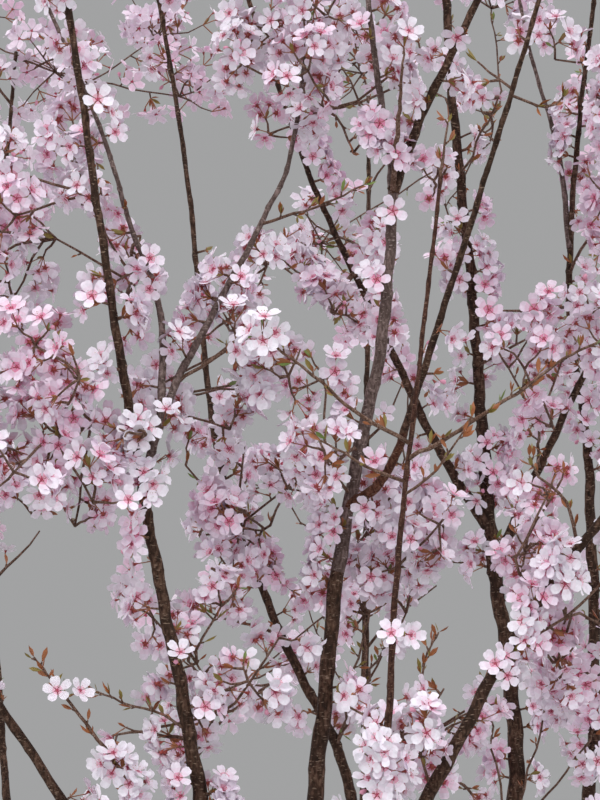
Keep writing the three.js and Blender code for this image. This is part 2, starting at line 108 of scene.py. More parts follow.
# Each limb: name, parent, height where it leaves it, foot and tip diameter, the heights between which it
# is seen from the front, and its places.
LIMBS = [
    ("centre_bough", "trunk", 1150, 24, 10.5, [(1500, 1813), (1859, 2127)],
     [(-22, 0, 1330), (-15, 0, 1505), (12, -12, 1760), (52, -38, 1965), (65, -50, 2140)]),
    ("left_bough", "trunk", 880, 22, 5, [(1500, 1767), (1866, 2080)],
     [(-78, -62, 1130), (-125, -110, 1510), (-168, -150, 1740), (-205, -195, 1960), (-255, -245, 2300),
      (-330, -320, 2820)]),
    ("right_bough", "trunk", 830, 28, 8, [(1500, 1676), (1948, 2073), (2174, 2269)],
     [(105, 150, 1080), (206, 298, 1490), (182, 305, 1810), (165, 292, 2060), (135, 250, 2400),
      (130, 230, 2900)]),
    ("far_right_bough", "trunk", 750, 26, 3.5, [(1680, 1880), (2092, 2430)],
     [(165, 180, 1000), (288, 330, 1470), (300, 350, 1860), (280, 345, 2090), (312, 330, 2420),
      (400, 380, 2880)]),
    ("crossing_bough", "trunk", 1020, 18, 4.5, [(1500, 1640)],
     [(22, 95, 1260), (25, 180, 1505), (-55, 195, 1690), (-122, 235, 1890), (-165, 300, 2250),
      (-250, 380, 2720)]),
    ("outer_left_bough", "left_bough", 1060, 15, 5, [(1500, 1590)],
     [(-150, -62, 1240), (-260, -60, 1505), (-440, -95, 1740), (-680, -120, 1960), (-930, -150, 2130)]),
    ("leaning_bough", "centre_bough", 1330, 17.5, 4.5, [(1500, 1600)],
     [(90, -70, 1505), (185, -90, 1675), (320, -125, 1850), (470, -180, 2060), (590, -230, 2250)]),
    ("centre_fork", "centre_bough", 1795, 11, 3.5, [(1935, 2330)],
     [(58, -52, 1830), (95, -150, 1935), (145, -225, 2090), (200, -300, 2270), (310, -430, 2640)]),
    ("centre_left_top", "centre_bough", 2125, 8, 3.5, [(2125, 2260)],
     [(45, -75, 2240), (28, -100, 2420), (10, -150, 2860)]),
    ("centre_right_top", "centre_bough", 2110, 11, 5, [(2110, 2300)],
     [(95, -70, 2190), (148, -112, 2295), (240, -120, 2520), (330, -100, 2800)]),
    ("right_inner_limb", "right_bough", 1800, 12, 4, [(1953, 2001), (2050, 2143)],
     [(125, 285, 1890), (70, 255, 2000), (10, 220, 2120), (-30, 190, 2210), (-110, 160, 2450),
      (-190, 120, 2750)]),
    ("right_outer_limb", "right_bough", 1760, 11.5, 4, [],
     [(245, 290, 1885), (320, 268, 2025), (480, 240, 2230), (680, 200, 2440)]),
    ("left_inner_limb", "left_bough", 1800, 9, 3.5, [(1870, 1984), (2058, 2169)],
     [(-155, -148, 1885), (-110, -105, 1985), (-65, -50, 2085), (-35, -10, 2180), (-10, 60, 2450),
      (0, 130, 2700)]),
    ("left_upper_limb", "left_inner_limb", 1865, 7.5, 3.5, [],
     [(-165, -130, 1975), (-195, -138, 2060), (-235, -145, 2180), (-370, -120, 2480)]),
    ("front_shoot", "centre_bough", 1300, 11, 3.5, [(1563, 2076)],
     [(28, -140, 1410), (48, -225, 1560), (58, -258, 1720), (78, -280, 1900), (98, -292, 2070)]),
    ("bare_limb", "far_right_bough", 2130, 7, 3.5, [],
     [(268, 342, 2250), (240, 350, 2360), (215, 380, 2520)]),
    ("rear_left_bough", "trunk", 640, 24, 5, [],
     [(-130, 115, 830), (-300, 270, 1200), (-450, 410, 1660), (-610, 530, 2180)]),
    ("rear_left_limb", "rear_left_bough", 1230, 12, 4.5, [],
     [(-370, 400, 1560), (-410, 560, 2000), (-400, 690, 2460)]),
    ("rear_bough", "trunk", 800, 24, 5, [],
     [(18, 150, 990), (40, 340, 1370), (50, 530, 1850), (60, 690, 2400)]),
    ("rear_right_bough", "trunk", 690, 24, 5, [],
     [(140, 100, 880), (330, 225, 1230), (510, 380, 1670), (700, 530, 2150)]),
    ("rear_right_limb", "rear_right_bough", 1230, 12, 4.5, [],
     [(370, 370, 1560), (430, 540, 1990), (480, 670, 2420)]),
    ("front_left_bough", "left_bough", 1040, 16, 5, [],
     [(-140, -165, 1220), (-300, -320, 1470), (-450, -450, 1770), (-600, -570, 2090)]),
    ("front_right_bough", "trunk", 920, 22, 5, [],
     [(115, -70, 1070), (300, -195, 1350), (490, -320, 1700), (700, -430, 2080)]),
]

# Each mass: name before "blossom", limb, height where its stem leaves the limb (None for its tip), centre,
# half sizes, the radius of a spray and how many there may be.
MASSES = [
    ("left_outer", "left_bough", 1840, (-265, -180, 1835), (120, 100, 108), 50, 19),
    ("left_upper", "left_upper_limb", 2040, (-265, -100, 2050), (115, 110, 95), 48, 17),
    ("left_inner", "left_inner_limb", 1900, (-115, -60, 1970), (85, 100, 115), 46, 17),
    ("centre_left", "crossing_bough", 1740, (-95, 60, 1810), (75, 110, 105), 47, 17),
    ("low_left", "left_bough", 1560, (-125, -30, 1620), (130, 110, 85), 46, 17),
    ("centre", "centre_bough", 1850, (-10, -70, 1910), (50, 100, 100), 42, 14),
    ("centre_low", "crossing_bough", 1560, (75, 60, 1740), (65, 105, 110), 46, 15),
    ("upper", "left_inner_limb", 2210, (10, 20, 2240), (110, 110, 80), 48, 16),
    ("inner_upper", "right_inner_limb", 2080, (10, 120, 2080), (75, 90, 100), 46, 16),
    ("right_upper", "right_bough", 2200, (165, 110, 2190), (70, 110, 110), 46, 14),
    ("far_right", "far_right_bough", 2100, (285, 210, 2210), (65, 120, 140), 48, 15),
    ("right", "right_outer_limb", 1870, (205, 130, 1955), (110, 100, 90), 48, 18),
    ("right_low", "leaning_bough", 1640, (220, 0, 1735), (95, 100, 120), 48, 18),
    ("low_centre", "front_shoot", 1420, (55, -150, 1575), (90, 90, 80), 44, 14),
    ("low_right", "right_bough", 1440, (195, 90, 1565), (110, 120, 70), 47, 16),
    ("top_left", "left_bough", None, (-380, -350, 2830), (230, 210, 250), 105, 9),
    ("top_centre", "centre_left_top", None, (-10, -180, 2960), (200, 210, 230), 105, 8),
    ("top_right", "centre_right_top", None, (360, -60, 2860), (200, 190, 230), 105, 8),
    ("top_front", "centre_fork", None, (250, -520, 2640), (220, 190, 200), 105, 8),
    ("top_rear", "right_bough", None, (120, 270, 3010), (210, 200, 230), 105, 8),
    ("top_far_right", "far_right_bough", None, (460, 420, 2830), (220, 200, 240), 105, 8),
    ("top_rear_left", "crossing_bough", None, (-300, 400, 2820), (220, 210, 230), 105, 8),
    ("high_left", "left_upper_limb", None, (-520, -60, 2550), (220, 190, 200), 105, 8),
    ("high_inner", "right_inner_limb", None, (-200, 80, 2640), (150, 160, 170), 90, 5),
    ("outer_left", "outer_left_bough", None, (-950, -160, 2170), (190, 210, 210), 105, 8),
    ("left_low_outer", "outer_left_bough", 1800, (-590, -80, 1880), (190, 200, 190), 105, 8),
    ("outer_right", "leaning_bough", None, (660, -220, 2270), (230, 190, 220), 105, 8),
    ("right_outer", "right_outer_limb", None, (760, 200, 2500), (220, 210, 230), 105, 9),
    ("front_left", "front_left_bough", None, (-650, -560, 2100), (220, 210, 240), 105, 9),
    ("front_right", "front_right_bough", None, (730, -540, 2060), (210, 190, 240), 105, 9),
    ("rear_left", "rear_left_bough", None, (-700, 540, 2230), (230, 220, 250), 105, 9),
    ("rear_left_top", "rear_left_limb", None, (-380, 760, 2450), (220, 190, 240), 105, 8),
    ("rear", "rear_bough", None, (60, 760, 2380), (210, 190, 280), 105, 9),
    ("rear_right", "rear_right_bough", None, (770, 560, 2150), (230, 220, 250), 105, 9),
    ("rear_right_top", "rear_right_limb", None, (470, 740, 2420), (210, 190, 230), 105, 8),
    ("rear_low", "rear_bough", 1500, (0, 520, 1800), (300, 170, 230), 92, 9),
]


def put_in_scene(name, data):
    thing = bpy.data.objects.new(name, data)
    bpy.context.scene.collection.objects.link(thing)
    return thing


def make_camera():
    data = bpy.data.cameras.new("photo_camera")
    data.sensor_width = SENSOR
    data.lens = SENSOR * PHOTO_FOCAL / PHOTO_HEIGHT
    camera = put_in_scene("photo_camera", data)
    camera.location = VIEWPOINT * MM
    camera.rotation_euler = (math.pi / 2 + CAMERA_PITCH, 0, 0)
    bpy.context.scene.camera = camera


make_camera()


def is_near(point):
    """True if a point shows in the photo, or not far outside its frame."""
    right, back, up = point - VIEWPOINT
    depth = back * math.cos(CAMERA_PITCH) + up * math.sin(CAMERA_PITCH)
    rise = up * math.cos(CAMERA_PITCH) - back * math.sin(CAMERA_PITCH)
    across, along = abs(PHOTO_FOCAL * right / depth), abs(PHOTO_FOCAL * rise / depth)
    return across < PHOTO_WIDTH / 2 + NEAR_MARGIN and along < PHOTO_HEIGHT / 2 + NEAR_MARGIN


def seen_from_front(point):
    """A point's place across and up on the upright plane through the trunk, and the scale there."""
    scale = VIEWPOINT[1] / (VIEWPOINT[1] - point[1])
    across = VIEWPOINT[0] + (point[0] - VIEWPOINT[0]) * scale
    return across, VIEWPOINT[2] + (point[2] - VIEWPOINT[2]) * scale, scale


# The growing rule

def seeded_draws(seed):
    """A function that gives the same run of numbers from 0 to 1 for the same seed."""
    state = seed

    def draw():
        nonlocal state
        state = (state * DRAW_FACTOR + DRAW_STEP) % DRAW_RANGE
        return state / DRAW_RANGE

    for _ in range(SKIPPED_DRAWS):
        draw()
    return draw


def unit(vector):
    return vector / np.linalg.norm(vector)


class Route:
    """A smooth line through its places, with a Catmull-Rom curve between each two."""

    def __init__(self, places):
        places = np.array(places, float)
        before, after = 2 * places[0] - places[1], 2 * places[-1] - places[-2]
        self.places = np.array([before, *places, after])
        self.stretches = len(places) - 1
        self.length = np.linalg.norm(np.diff(self.points(np.linspace(0, 1, 201)), axis=0), axis=1).sum()

    def points(self, shares):
        along = np.clip(np.atleast_1d(shares), 0, 1) * self.stretches
        first = np.minimum(along.astype(int), self.stretches - 1)
        t = (along - first)[:, None]
        p0, p1, p2, p3 = (self.places[first + k] for k in range(4))
        m1 = (p2 - p0) / 2
        m2 = (p3 - p1) / 2
        cubic = (2 * p1 - 2 * p2 + m1 + m2) * t**3
        return cubic + (-3 * p1 + 3 * p2 - 2 * m1 - m2) * t**2 + m1 * t + p1

    def point(self, share):
        return self.points(share)[0]

    def tangent(self, share):
        ends = self.points([max(share - 1e-4, 0), min(share + 1e-4, 1)])
        return unit(ends[1] - ends[0])

    def share_at_height(self, height):
        low, high = 0.0, 1.0
        for _ in range(40):
            middle = (low + high) / 2
            if self.point(middle)[2] < height:
                low = middle
            else:
                high = middle
        return (low + high) / 2

    def point_at_height(self, height):
        return self.point(self.share_at_height(height))


class Limb:
    def __init__(self, plan, limbs):
        self.name, parent_name, height, self.foot, self.tip, self.shown, places = plan
        parent = limbs[parent_name]
        share = parent.route.share_at_height(height)
        self.route = Route([parent.route.point(share), *places])
        self.parent_radius = float(parent.radius(share))

    def radius(self, share):
        plain = (self.tip + (self.foot - self.tip) * (1 - share) ** LIMB_TAPER_POWER) / 2
        from_parent = np.maximum(share * self.route.length - self.parent_radius, 0)
        return plain * (1 + COLLAR_SHARE * np.exp(-from_parent / COLLAR_LENGTH))


class Trunk:
    route = Route(TRUNK_ROUTE)

    def radius(self, share, turn=0.0):
        height = share * TRUNK_ROUTE[-1][2]
        plain = (TRUNK_DIAMETER + (TRUNK_TOP_DIAMETER - TRUNK_DIAMETER) * share**TAPER_POWER) / 2
        fade = np.exp(-height / FLARE_HEIGHT)
        return plain * (1 + fade * (FLARE_SHARE + RIDGE_DEPTH * np.cos(ROOT_RIDGES * turn)))


class Obstacles:
    """Straight pieces with a radius and an owner, which twigs and sprays keep clear of."""

    def __init__(self):
        self.rows = []

    def add(self, owner, start, end, radius):
        self.rows.append((owner, start, end - start, radius))

    def without(self, *owners):
        kept = [row for row in self.rows if row[0] not in owners]
        return tuple(np.array([row[k] for row in kept]) for k in (1, 2, 3))


def distances(starts, runs, radii, point):
    """How far a point is from the surface of each straight piece."""
    offset = point - starts
    share = np.clip((offset * runs).sum(1) / (runs * runs).sum(1), 0, 1)
    return np.linalg.norm(offset - share[:, None] * runs, axis=1) - radii


def is_clear(pieces, point, reach):
    return bool((distances(*pieces, point) > reach + CLEAR_GAP + SPRAY_CLEARANCE).all())


def is_in_gap(point, reach, gaps):
    """True if a thing of this reach at this point shows in one of the gaps, seen from the front."""
    across, up, scale = seen_from_front(point)
    middles, heights, half_widths, half_heights = gaps.T
    x = (across - middles) / (half_widths + reach * scale)
    y = (up - heights) / (half_heights + reach * scale)
    return bool((x * x + y * y < 1).any())


def shown_places_of(limb, stretches):
    """Places along a limb where it is seen from the front: across, up and how far back."""
    places = []
    for low, high in stretches:
        count = math.ceil((high - low) / SHOWN_SPACING)
        for i in range(count + 1):
            point = limb.route.point_at_height(low + (high - low) * i / count)
            places.append((*seen_from_front(point)[:2], point[1]))
    return places


def hides_limb(shown_places, point, reach):
    across, up, scale = seen_from_front(point)
    behind = point[1] < shown_places[:, 2]
    off = np.hypot(across - shown_places[:, 0], up - shown_places[:, 1])
    return bool((behind & (off < reach * scale)).any())


class Spray:
    def __init__(self, place, size, along=UP):
        self.place = place
        self.size = size
        self.along = along


def draw_spray(centre, radii, spray_radius, draw):
    polar = 2 * draw() - 1
    turn = FULL_TURN * draw()
    out = np.cbrt(draw())
    flat = math.sqrt(1 - polar * polar)
    offset = np.array([flat * math.cos(turn), flat * math.sin(turn), polar]) * out
    return Spray(offset * radii + centre, spray_radius * (1 + SIZE_SPREAD * (2 * draw() - 1)))


def spread_from(spray, others):
    """How far a spray lies from the nearest of the others, as a share of the two sizes together."""
    apart = (np.linalg.norm(other.place - spray.place) / (other.size + spray.size) for other in others)
    return min(apart, default=math.inf)


def spread_sprays(plan, draw, shown_places, others, all_limbs):
    centre, radii, spray_radius, count = plan[3:]
    sprays = []
    for _ in range(count):
        best, best_spread = None, SPRAY_GAP
        for _ in range(CANDIDATES):
            spray = draw_spray(centre, radii, spray_radius, draw)
            spread = spread_from(spray, sprays)
            if (
                spread > best_spread
                and not is_in_gap(spray.place, GAP_MARGIN * spray.size, SKY_GAPS)
                and not hides_limb(shown_places, spray.place, HIDE_MARGIN * spray.size)
                and is_clear(others, spray.place, spray.size)
                and is_clear(all_limbs, spray.place, OWN_LIMB_SHARE * spray.size)
            ):
                best, best_spread = spray, spread
        if best:
            sprays.append(best)
    return sprays


def crosses_spray(start, end, sprays, source):
    """True if a straight twig runs through a spray other than the one it starts from."""
    for spray in sprays:
        off = distances(start[None], (end - start)[None], TWIG_RADIUS, spray.place)[0]
        if spray is not source and off < CROSSING_REACH * spray.size:
            return True
    return False


def is_twig_clear(pieces, start, end):
    places = (start + (end - start) * i / PLACES_PER_TWIG for i in range(1, PLACES_PER_TWIG + 1))
    return all(is_clear(pieces, place, TWIG_RADIUS) for place in places)


def grow_mass(plan, seed, limbs, obstacles, shown_places):
    """The twigs and sprays of one mass. A twig has a start, an end, their two radii and its first heading."""
    name, limb_name, height, centre = plan[:4]
    draw = seeded_draws(seed)
    route = limbs[limb_name].route
    if height is None:
        foot = route.point(1) - route.tangent(1) * OVERLAP_DEPTH
    else:
        foot = route.point_at_height(height)
    others = obstacles.without(name, limb_name)
    sprays = spread_sprays(plan, draw, shown_places, others, obstacles.without(name))
    sprays.sort(key=lambda spray: np.linalg.norm(spray.place - foot))
    source = Spray(foot, 0, unit(np.array(centre, float) - foot))
    nodes, twigs, grown = [source], [], []
    for spray in sprays:
        best, best_cost = None, math.inf
        for node in nodes:
            run = spray.place - node.place
            length = np.linalg.norm(run)
            cost = length * (1 + TURN_PENALTY * (1 - run @ node.along / length))
            if crosses_spray(node.place, spray.place, grown, node):
                cost *= 1 + CROSSING_PENALTY
            if cost < best_cost and is_twig_clear(others, node.place, spray.place):
                best, best_cost = node, cost
        if best is None:
            continue
        radii = (STEM_RADIUS, TWIG_RADIUS) if best is source else (TWIG_RADIUS, TWIG_TIP_RADIUS)
        twigs.append((best.place, spray.place, *radii, best.along))
        if best is source:
            nodes.pop(0)
        spray.along = unit(spray.place - best.place)
        nodes.append(spray)
        grown.append(spray)
    for start, end, radius, _, _ in twigs:
        obstacles.add(name, start, end, radius)
    for spray in grown:
        obstacles.add(name, spray.place, spray.place + spray.along, spray.size)
    return twigs, grown


def grow_tree():
    limbs = {"trunk": Trunk()}
    obstacles = Obstacles()
    shown_places = []
    for plan in LIMBS:
        limb = Limb(plan, limbs)
        limbs[limb.name] = limb
        shown_places += shown_places_of(limb, limb.shown)
        pieces = math.ceil(limb.route.length / OBSTACLE_LENGTH)
        ends = limb.route.points(np.arange(pieces + 1) / pieces)
        for i in range(pieces):
            obstacles.add(limb.name, ends[i], ends[i + 1], limb.radius(i / pieces))
    shown_places = np.array(shown_places)
    masses = {}
    for seed, plan in enumerate(MASSES, start=1):
        masses[f"{plan[0]}_blossom"] = grow_mass(plan, seed, limbs, obstacles, shown_places)
    return limbs, masses, shown_places


# Meshes

class Heap:
    """Triangles of one kind, gathered until they become one piece."""

    def __init__(self):
        self.rows = []

    def add(self, points, faces, slot=0):
        """slot is one material slot for all the faces, or one for each."""
        self.rows.append((points, faces, np.broadcast_to(slot, len(faces))))


def make_piece(name, heap, materials):
    points, faces, slots = zip(*heap.rows)
    firsts = np.cumsum([0, *map(len, points[:-1])])
    mesh = bpy.data.meshes.new(name)
    faces = np.concatenate([rows + first for rows, first in zip(faces, firsts)])
    mesh.from_pydata(np.concatenate(points) * MM, [], faces, shade_flat=False)
    mesh.polygons.foreach_set("material_index", np.concatenate(slots).astype(np.int32))
    for material in materials:
        mesh.materials.append(material)
    mesh.update()
    mesh.validate()
    piece = put_in_scene(name, mesh)
    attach(piece, "root")
    return piece


def tube(middles, radii, sides, reference=None, capped=True):
    """A tube round a line of points. radii has a row for each point, with one value or one for each side."""
    middles = np.asarray(middles, float)
    rings = len(middles)
    tangents = np.gradient(middles, axis=0)
    tangents /= np.linalg.norm(tangents, axis=1)[:, None]
    if reference is None:
        reference = np.eye(3)[np.argmin(np.abs(tangents).sum(0))]
    side = np.cross(reference, tangents)
    side /= np.linalg.norm(side, axis=1)[:, None]
    across = np.cross(tangents, side)
    turns = np.arange(sides) * FULL_TURN / sides
    radii = np.broadcast_to(np.asarray(radii, float).reshape(rings, -1), (rings, sides))
    wheel = np.cos(turns)[:, None] * side[:, None] + np.sin(turns)[:, None] * across[:, None]
    points = (middles[:, None] + radii[..., None] * wheel).reshape(-1, 3)
    first = np.arange(rings - 1)[:, None] * sides
    this, following = np.arange(sides), (np.arange(sides) + 1) % sides
    a, b = first + this, first + following
    walls = np.stack([a, b, a + sides, b, b + sides, a + sides], -1).reshape(-1, 3)
    if not capped:
        return points, walls
    foot, last = rings * sides, (rings - 1) * sides
    foot_fan = np.stack([np.full(sides, foot), following, this], -1)
    tip_fan = np.stack([np.full(sides, foot + 1), last + this, last + following], -1)
    return np.concatenate([points, middles[:1], middles[-1:]]), np.concatenate([walls, foot_fan, tip_fan])


# Bark

# Swellings of a limb: waves round it, and their height as a share of its radius.
SWELLINGS = ((1, 0.035), (2, 0.03), (3, 0.02))
SWELLING_LENGTHS = (70, 150)
SHORT_WAVE = 0.37  # the length and height of a shorter wave, as shares of a swelling's
SHORT_WAVE_HEIGHT = 0.6
RING_SPACING = 34.0  # between the raised rings that old buds leave
RING_HEIGHT = 0.35
RING_REACH = 2.5
KNOB_SPACING = 26.0  # between the knobs of old spurs
KNOB_REACH = 4.2
TRUNK_KNOB_HEIGHT = 3.0
TRUNK_RELIEF = 0.6
FINE_STEP = 4.5  # between rings of points, inside the photo's frame
COARSE_STEP = 14.0
TRUNK_STEP = 7.0
TRUNK_SIDES = 44
THICK_FOOT = 20  # from this foot diameter on, a limb has more sides
WANDER = 0.10  # how far a limb's middle strays from its route, as a share of its radius
WANDER_LENGTHS = (61, 143)
SMOOTH_FOOT = 60.0  # over which the relief of a limb sets in

# Limbs with grey bark and the height from which they have it, and one with reddish bark up to a height.
GREY_FROM = {
    "centre_bough": 1730, "centre_left_top": 0, "left_inner_limb": 0, "left_upper_limb": 0, "bare_limb": 0,
}
REDDISH_BELOW = {"centre_fork": 1860}
BROWN_SLOT, GREY_SLOT, REDDISH_SLOT = 0, 1, 2
TRUNK_SEED = 7
SHOOT_SEED = 90


def bark_relief(lengths, turns, radii, rng, knob_height):
    """How far the bark stands out from the taper: swellings, rings of old buds and knobs of old spurs."""
    relief = np.zeros((len(lengths), len(turns)))
    for waves, share in SWELLINGS:
        phase = rng.uniform(0, FULL_TURN, 3)
        stretch = rng.uniform(*SWELLING_LENGTHS)
        wave = np.sin(lengths[:, None] / stretch * FULL_TURN + phase[0])
        short_wave = np.sin(lengths[:, None] / (SHORT_WAVE * stretch) * FULL_TURN + phase[2])
        relief += share * radii[:, None] * wave * np.cos(waves * turns + phase[1])
        relief += SHORT_WAVE_HEIGHT * share * radii[:, None] * short_wave
    place = rng.uniform(5, RING_SPACING)
    while place < lengths[-1]:
        relief += RING_HEIGHT * np.exp(-(((lengths - place) / RING_REACH) ** 2))[:, None]
        place += RING_SPACING * rng.uniform(0.5, 1.6)
    place = rng.uniform(5, KNOB_SPACING)
    while place < lengths[-1]:
        turn = rng.uniform(0, FULL_TURN)
        across = np.interp(place, lengths, radii) * np.abs(np.angle(np.exp(1j * (turns - turn))))
        off = np.hypot((lengths - place)[:, None], across[None])
        relief += knob_height * rng.uniform(0.5, 1.2) * np.exp(-((off / KNOB_REACH) ** 2))
        place += KNOB_SPACING * rng.uniform(0.4, 1.7)
    return relief


def add_limb_bark(heap, limb, seed):
    rng = np.random.default_rng(seed)
    shares = [0.0]
    while shares[-1] < 1:
        step = FINE_STEP if is_near(limb.route.point(shares[-1])) else COARSE_STEP
        shares.append(min(shares[-1] + step / limb.route.length, 1))
    shares = np.array(shares)
    lengths = shares * limb.route.length
    radii = limb.radius(shares)
    sides = 12 if limb.foot > THICK_FOOT else 10
    turns = np.arange(sides) * FULL_TURN / sides
    relief = bark_relief(lengths, turns, radii, rng, knob_height=0.4 + 0.04 * limb.foot)
    fade = np.clip(lengths / SMOOTH_FOOT, 0, 1)
    middles = limb.route.points(shares)
    for stretch in WANDER_LENGTHS:
        for axis, phase in enumerate(rng.uniform(0, FULL_TURN, 2)):
            middles[:, axis] += WANDER * radii * fade * np.sin(lengths / stretch * FULL_TURN + phase)
    points, faces = tube(middles, radii[:, None] + relief * fade[:, None], sides, BACK)
    heights = points[faces].mean(1)[:, 2]
    slots = np.where(heights > GREY_FROM.get(limb.name, math.inf), GREY_SLOT, BROWN_SLOT)
    heap.add(points, faces, np.where(heights < REDDISH_BELOW.get(limb.name, 0), REDDISH_SLOT, slots))


def add_trunk_bark(heap, trunk):
    shares = np.linspace(0, 1, int(TRUNK_ROUTE[-1][2] / TRUNK_STEP) + 1)
    turns = np.arange(TRUNK_SIDES) * FULL_TURN / TRUNK_SIDES
    radii = trunk.radius(shares[:, None], turns[None])
    rng = np.random.default_rng(TRUNK_SEED)
    relief = bark_relief(shares * trunk.route.length, turns, radii.mean(1), rng, TRUNK_KNOB_HEIGHT)
    points, faces = tube(trunk.route.points(shares), radii + TRUNK_RELIEF * relief, TRUNK_SIDES, BACK)
    points[:, 2] = np.maximum(points[:, 2], 0)
    points[:TRUNK_SIDES, 2] = 0
    heap.add(points, faces)


# Flowers. Each kind of small thing is a shape with +Z out of its face, copied to many places.

PETALS = 5
PETAL_LENGTH = 14.6
PETAL_HALF_WIDTH = 5.25
PETAL_OUTLINE = ((0.27, 0.58), (0.55, 0.97), (0.80, 0.92), (0.96, 0.50))  # how far out, and how wide there
PLAIN_OUTLINE = ((0.48, 0.95), (0.90, 0.66))
PETAL_TIP = 0.95
PETAL_MIDDLE = 0.58
PETAL_FOOT = 1.0  # how far from the flower's middle a petal starts
PETAL_LAP = 0.25  # how far every other petal lies above the rest
CALYX_RADIUS = 2.0
CALYX_LENGTH = 5.0
STAMENS = 8
FLOWER_SHAPES = 6
FLOWER_SEED = 5
THROAT, INNER, OUTER = 0, 1, 2  # a petal's material slots, from its foot to its tip


def petal(rng, cup, fine):
    """One petal along +X, widest past its middle, with a round and faintly notched tip."""
    length = PETAL_LENGTH * rng.uniform(0.93, 1.06)
    half_width = PETAL_HALF_WIDTH * rng.uniform(0.90, 1.10)
    lift = cup + rng.uniform(-0.08, 0.08)
    fold = rng.uniform(0.04, 0.20)
    twist = rng.uniform(-0.14, 0.14)
    curl = rng.uniform(0.6, 1.8)
    notch = rng.uniform(-0.03, 0.05)

    def place(out, wide):
        y = wide * half_width
        rise = length * lift * out**1.5 + abs(y) * fold + y * twist
        return PETAL_FOOT + length * out, y, rise - curl * max(out - 0.8, 0) * length * lift

    points = [(PETAL_FOOT, 0.0, 0.0)]
    if not fine:
        points += [place(out, side * wide) for side in (-1, 1) for out, wide in PLAIN_OUTLINE]
        points.append(place(PETAL_TIP - notch, 0))
        return np.array(points), [(0, 1, 5), (0, 5, 3), (1, 2, 5), (5, 4, 3)], (INNER, INNER, OUTER, OUTER)
    points += [place(out, side * wide) for out, wide in PETAL_OUTLINE for side in (-1, 1)]
    points += [place(PETAL_TIP - notch, 0), place(PETAL_MIDDLE, 0)]
    faces = [(0, 1, 2), (1, 3, 10), (1, 10, 2), (2, 10, 4)]
    faces += [(3, 5, 10), (5, 7, 10), (7, 9, 10), (9, 8, 10), (8, 6, 10), (6, 4, 10)]
    return np.array(points), faces, (THROAT, *[INNER] * 3, *[OUTER] * 6)


def joined(parts):
    """One shape from a list of shapes, each its points and faces."""
    firsts = np.cumsum([0, *[len(points) for points, _ in parts[:-1]]])
    faces = [np.array(faces) + first for (_, faces), first in zip(parts, firsts)]
    return np.concatenate([points for points, _ in parts]), np.concatenate(faces)


def flower_shape(rng, fine):
    """The petals of one open flower: points, faces and the faces' material slots."""
    cup = rng.uniform(0.05, 0.60)
    petals, slots = [], []
    for i in range(PETALS):
        points, faces, petal_slots = petal(rng, cup, fine)
        turn = FULL_TURN * i / PETALS + rng.uniform(-0.07, 0.07)
        cos, sin = math.cos(turn), math.sin(turn)
        spin = np.array([[cos, -sin, 0], [sin, cos, 0], [0, 0, 1]])
        petals.append((points @ spin.T + (0, 0, PETAL_LAP * (i % 2)), faces))
        slots += petal_slots
    return *joined(petals), slots


def cone(sides, radius, rim_height, tip_height):
    """An open cone round +Z, seen from outside."""
    turns = np.arange(sides) * FULL_TURN / sides
    rim = np.stack([radius * np.cos(turns), radius * np.sin(turns), np.full(sides, rim_height)], -1)
    this, following = np.arange(sides), (np.arange(sides) + 1) % sides
    order = (this, following) if tip_height > rim_height else (following, this)
    return np.concatenate([rim, [(0, 0, tip_height)]]), np.stack([np.full(sides, sides), *order], -1)


def spoke(turn):
    """The heading out from +Z at a turn, and the one across it."""
    return np.array([math.cos(turn), math.sin(turn), 0]), np.array([-math.sin(turn), math.cos(turn), 0])


def stamens(rng):
    """Thin filaments that stand out of the flower's eye, and a small anther on each."""
    filaments, anthers = [], []
    for i in range(STAMENS):
        out, across = spoke(FULL_TURN * i / STAMENS + rng.uniform(-0.3, 0.3))
        top = out * rng.uniform(2.0, 5.0) + UP * rng.uniform(3.0, 5.5)
        filaments += [out * 0.8 - across * 0.3, out * 0.8 + across * 0.3, top]
        anthers += [top - across * 0.6, top + across * 0.6, top + out * 0.5 + UP * 0.8]
    faces = np.arange(3 * STAMENS).reshape(-1, 3)
    return (np.array(filaments), faces), (np.array(anthers), faces)


def calyx(sides, with_sepals):
    """The narrow cup behind the petals, with its sepals where they show."""
    parts = [cone(sides, CALYX_RADIUS, -0.1, -CALYX_LENGTH - 1.5)]
    for i in range(PETALS if with_sepals else 0):
        out, across = spoke(FULL_TURN * (i + 0.5) / PETALS)
        sepal = [out * 1.5 - across * 1.2, out * 1.5 + across * 1.2, out * 5.6 - UP * 1.4]
        parts.append((np.array(sepal) - UP * 0.4, [(0, 2, 1)]))
    return joined(parts)


def stalk(steps):
    """A flower stalk of length 1 up +Z, bowed a little to one side."""
    heights = np.linspace(0, 1, steps + 1)
    middles = np.stack([0.10 * np.sin(math.pi * heights), np.zeros(len(heights)), heights], -1)
    return tube(middles, np.ones(len(heights)), 3, capped=False)


def bud_shape(sides):
    """A closed bud up +Z, fattest past its middle."""
    points, faces = tube([(0, 0, 2.2), (0, 0, 6.0)], [2.0, 2.9], sides)
    points[-2:] = [(0, 0, 0), (0, 0, 8.8)]
    return points, faces


def leaf_shape(curl):
    """A young leaf of length 1 up +Z, folded along its rib, pointed, and curling out."""
    points = [(0, 0, 0)]
    for out, wide in ((0.35, 0.13), (0.65, 0.15)):
        x = curl * out**2
        points += [(x + 0.09, -wide, out), (x, 0, out), (x + 0.09, wide, out)]
    points.append((curl, 0, 1))
    faces = [(0, 1, 2), (0, 2, 3), (1, 4, 5), (1, 5, 2), (2, 5, 6), (2, 6, 3), (4, 7, 5), (5, 7, 6)]
    return np.array(points, float), np.array(faces)


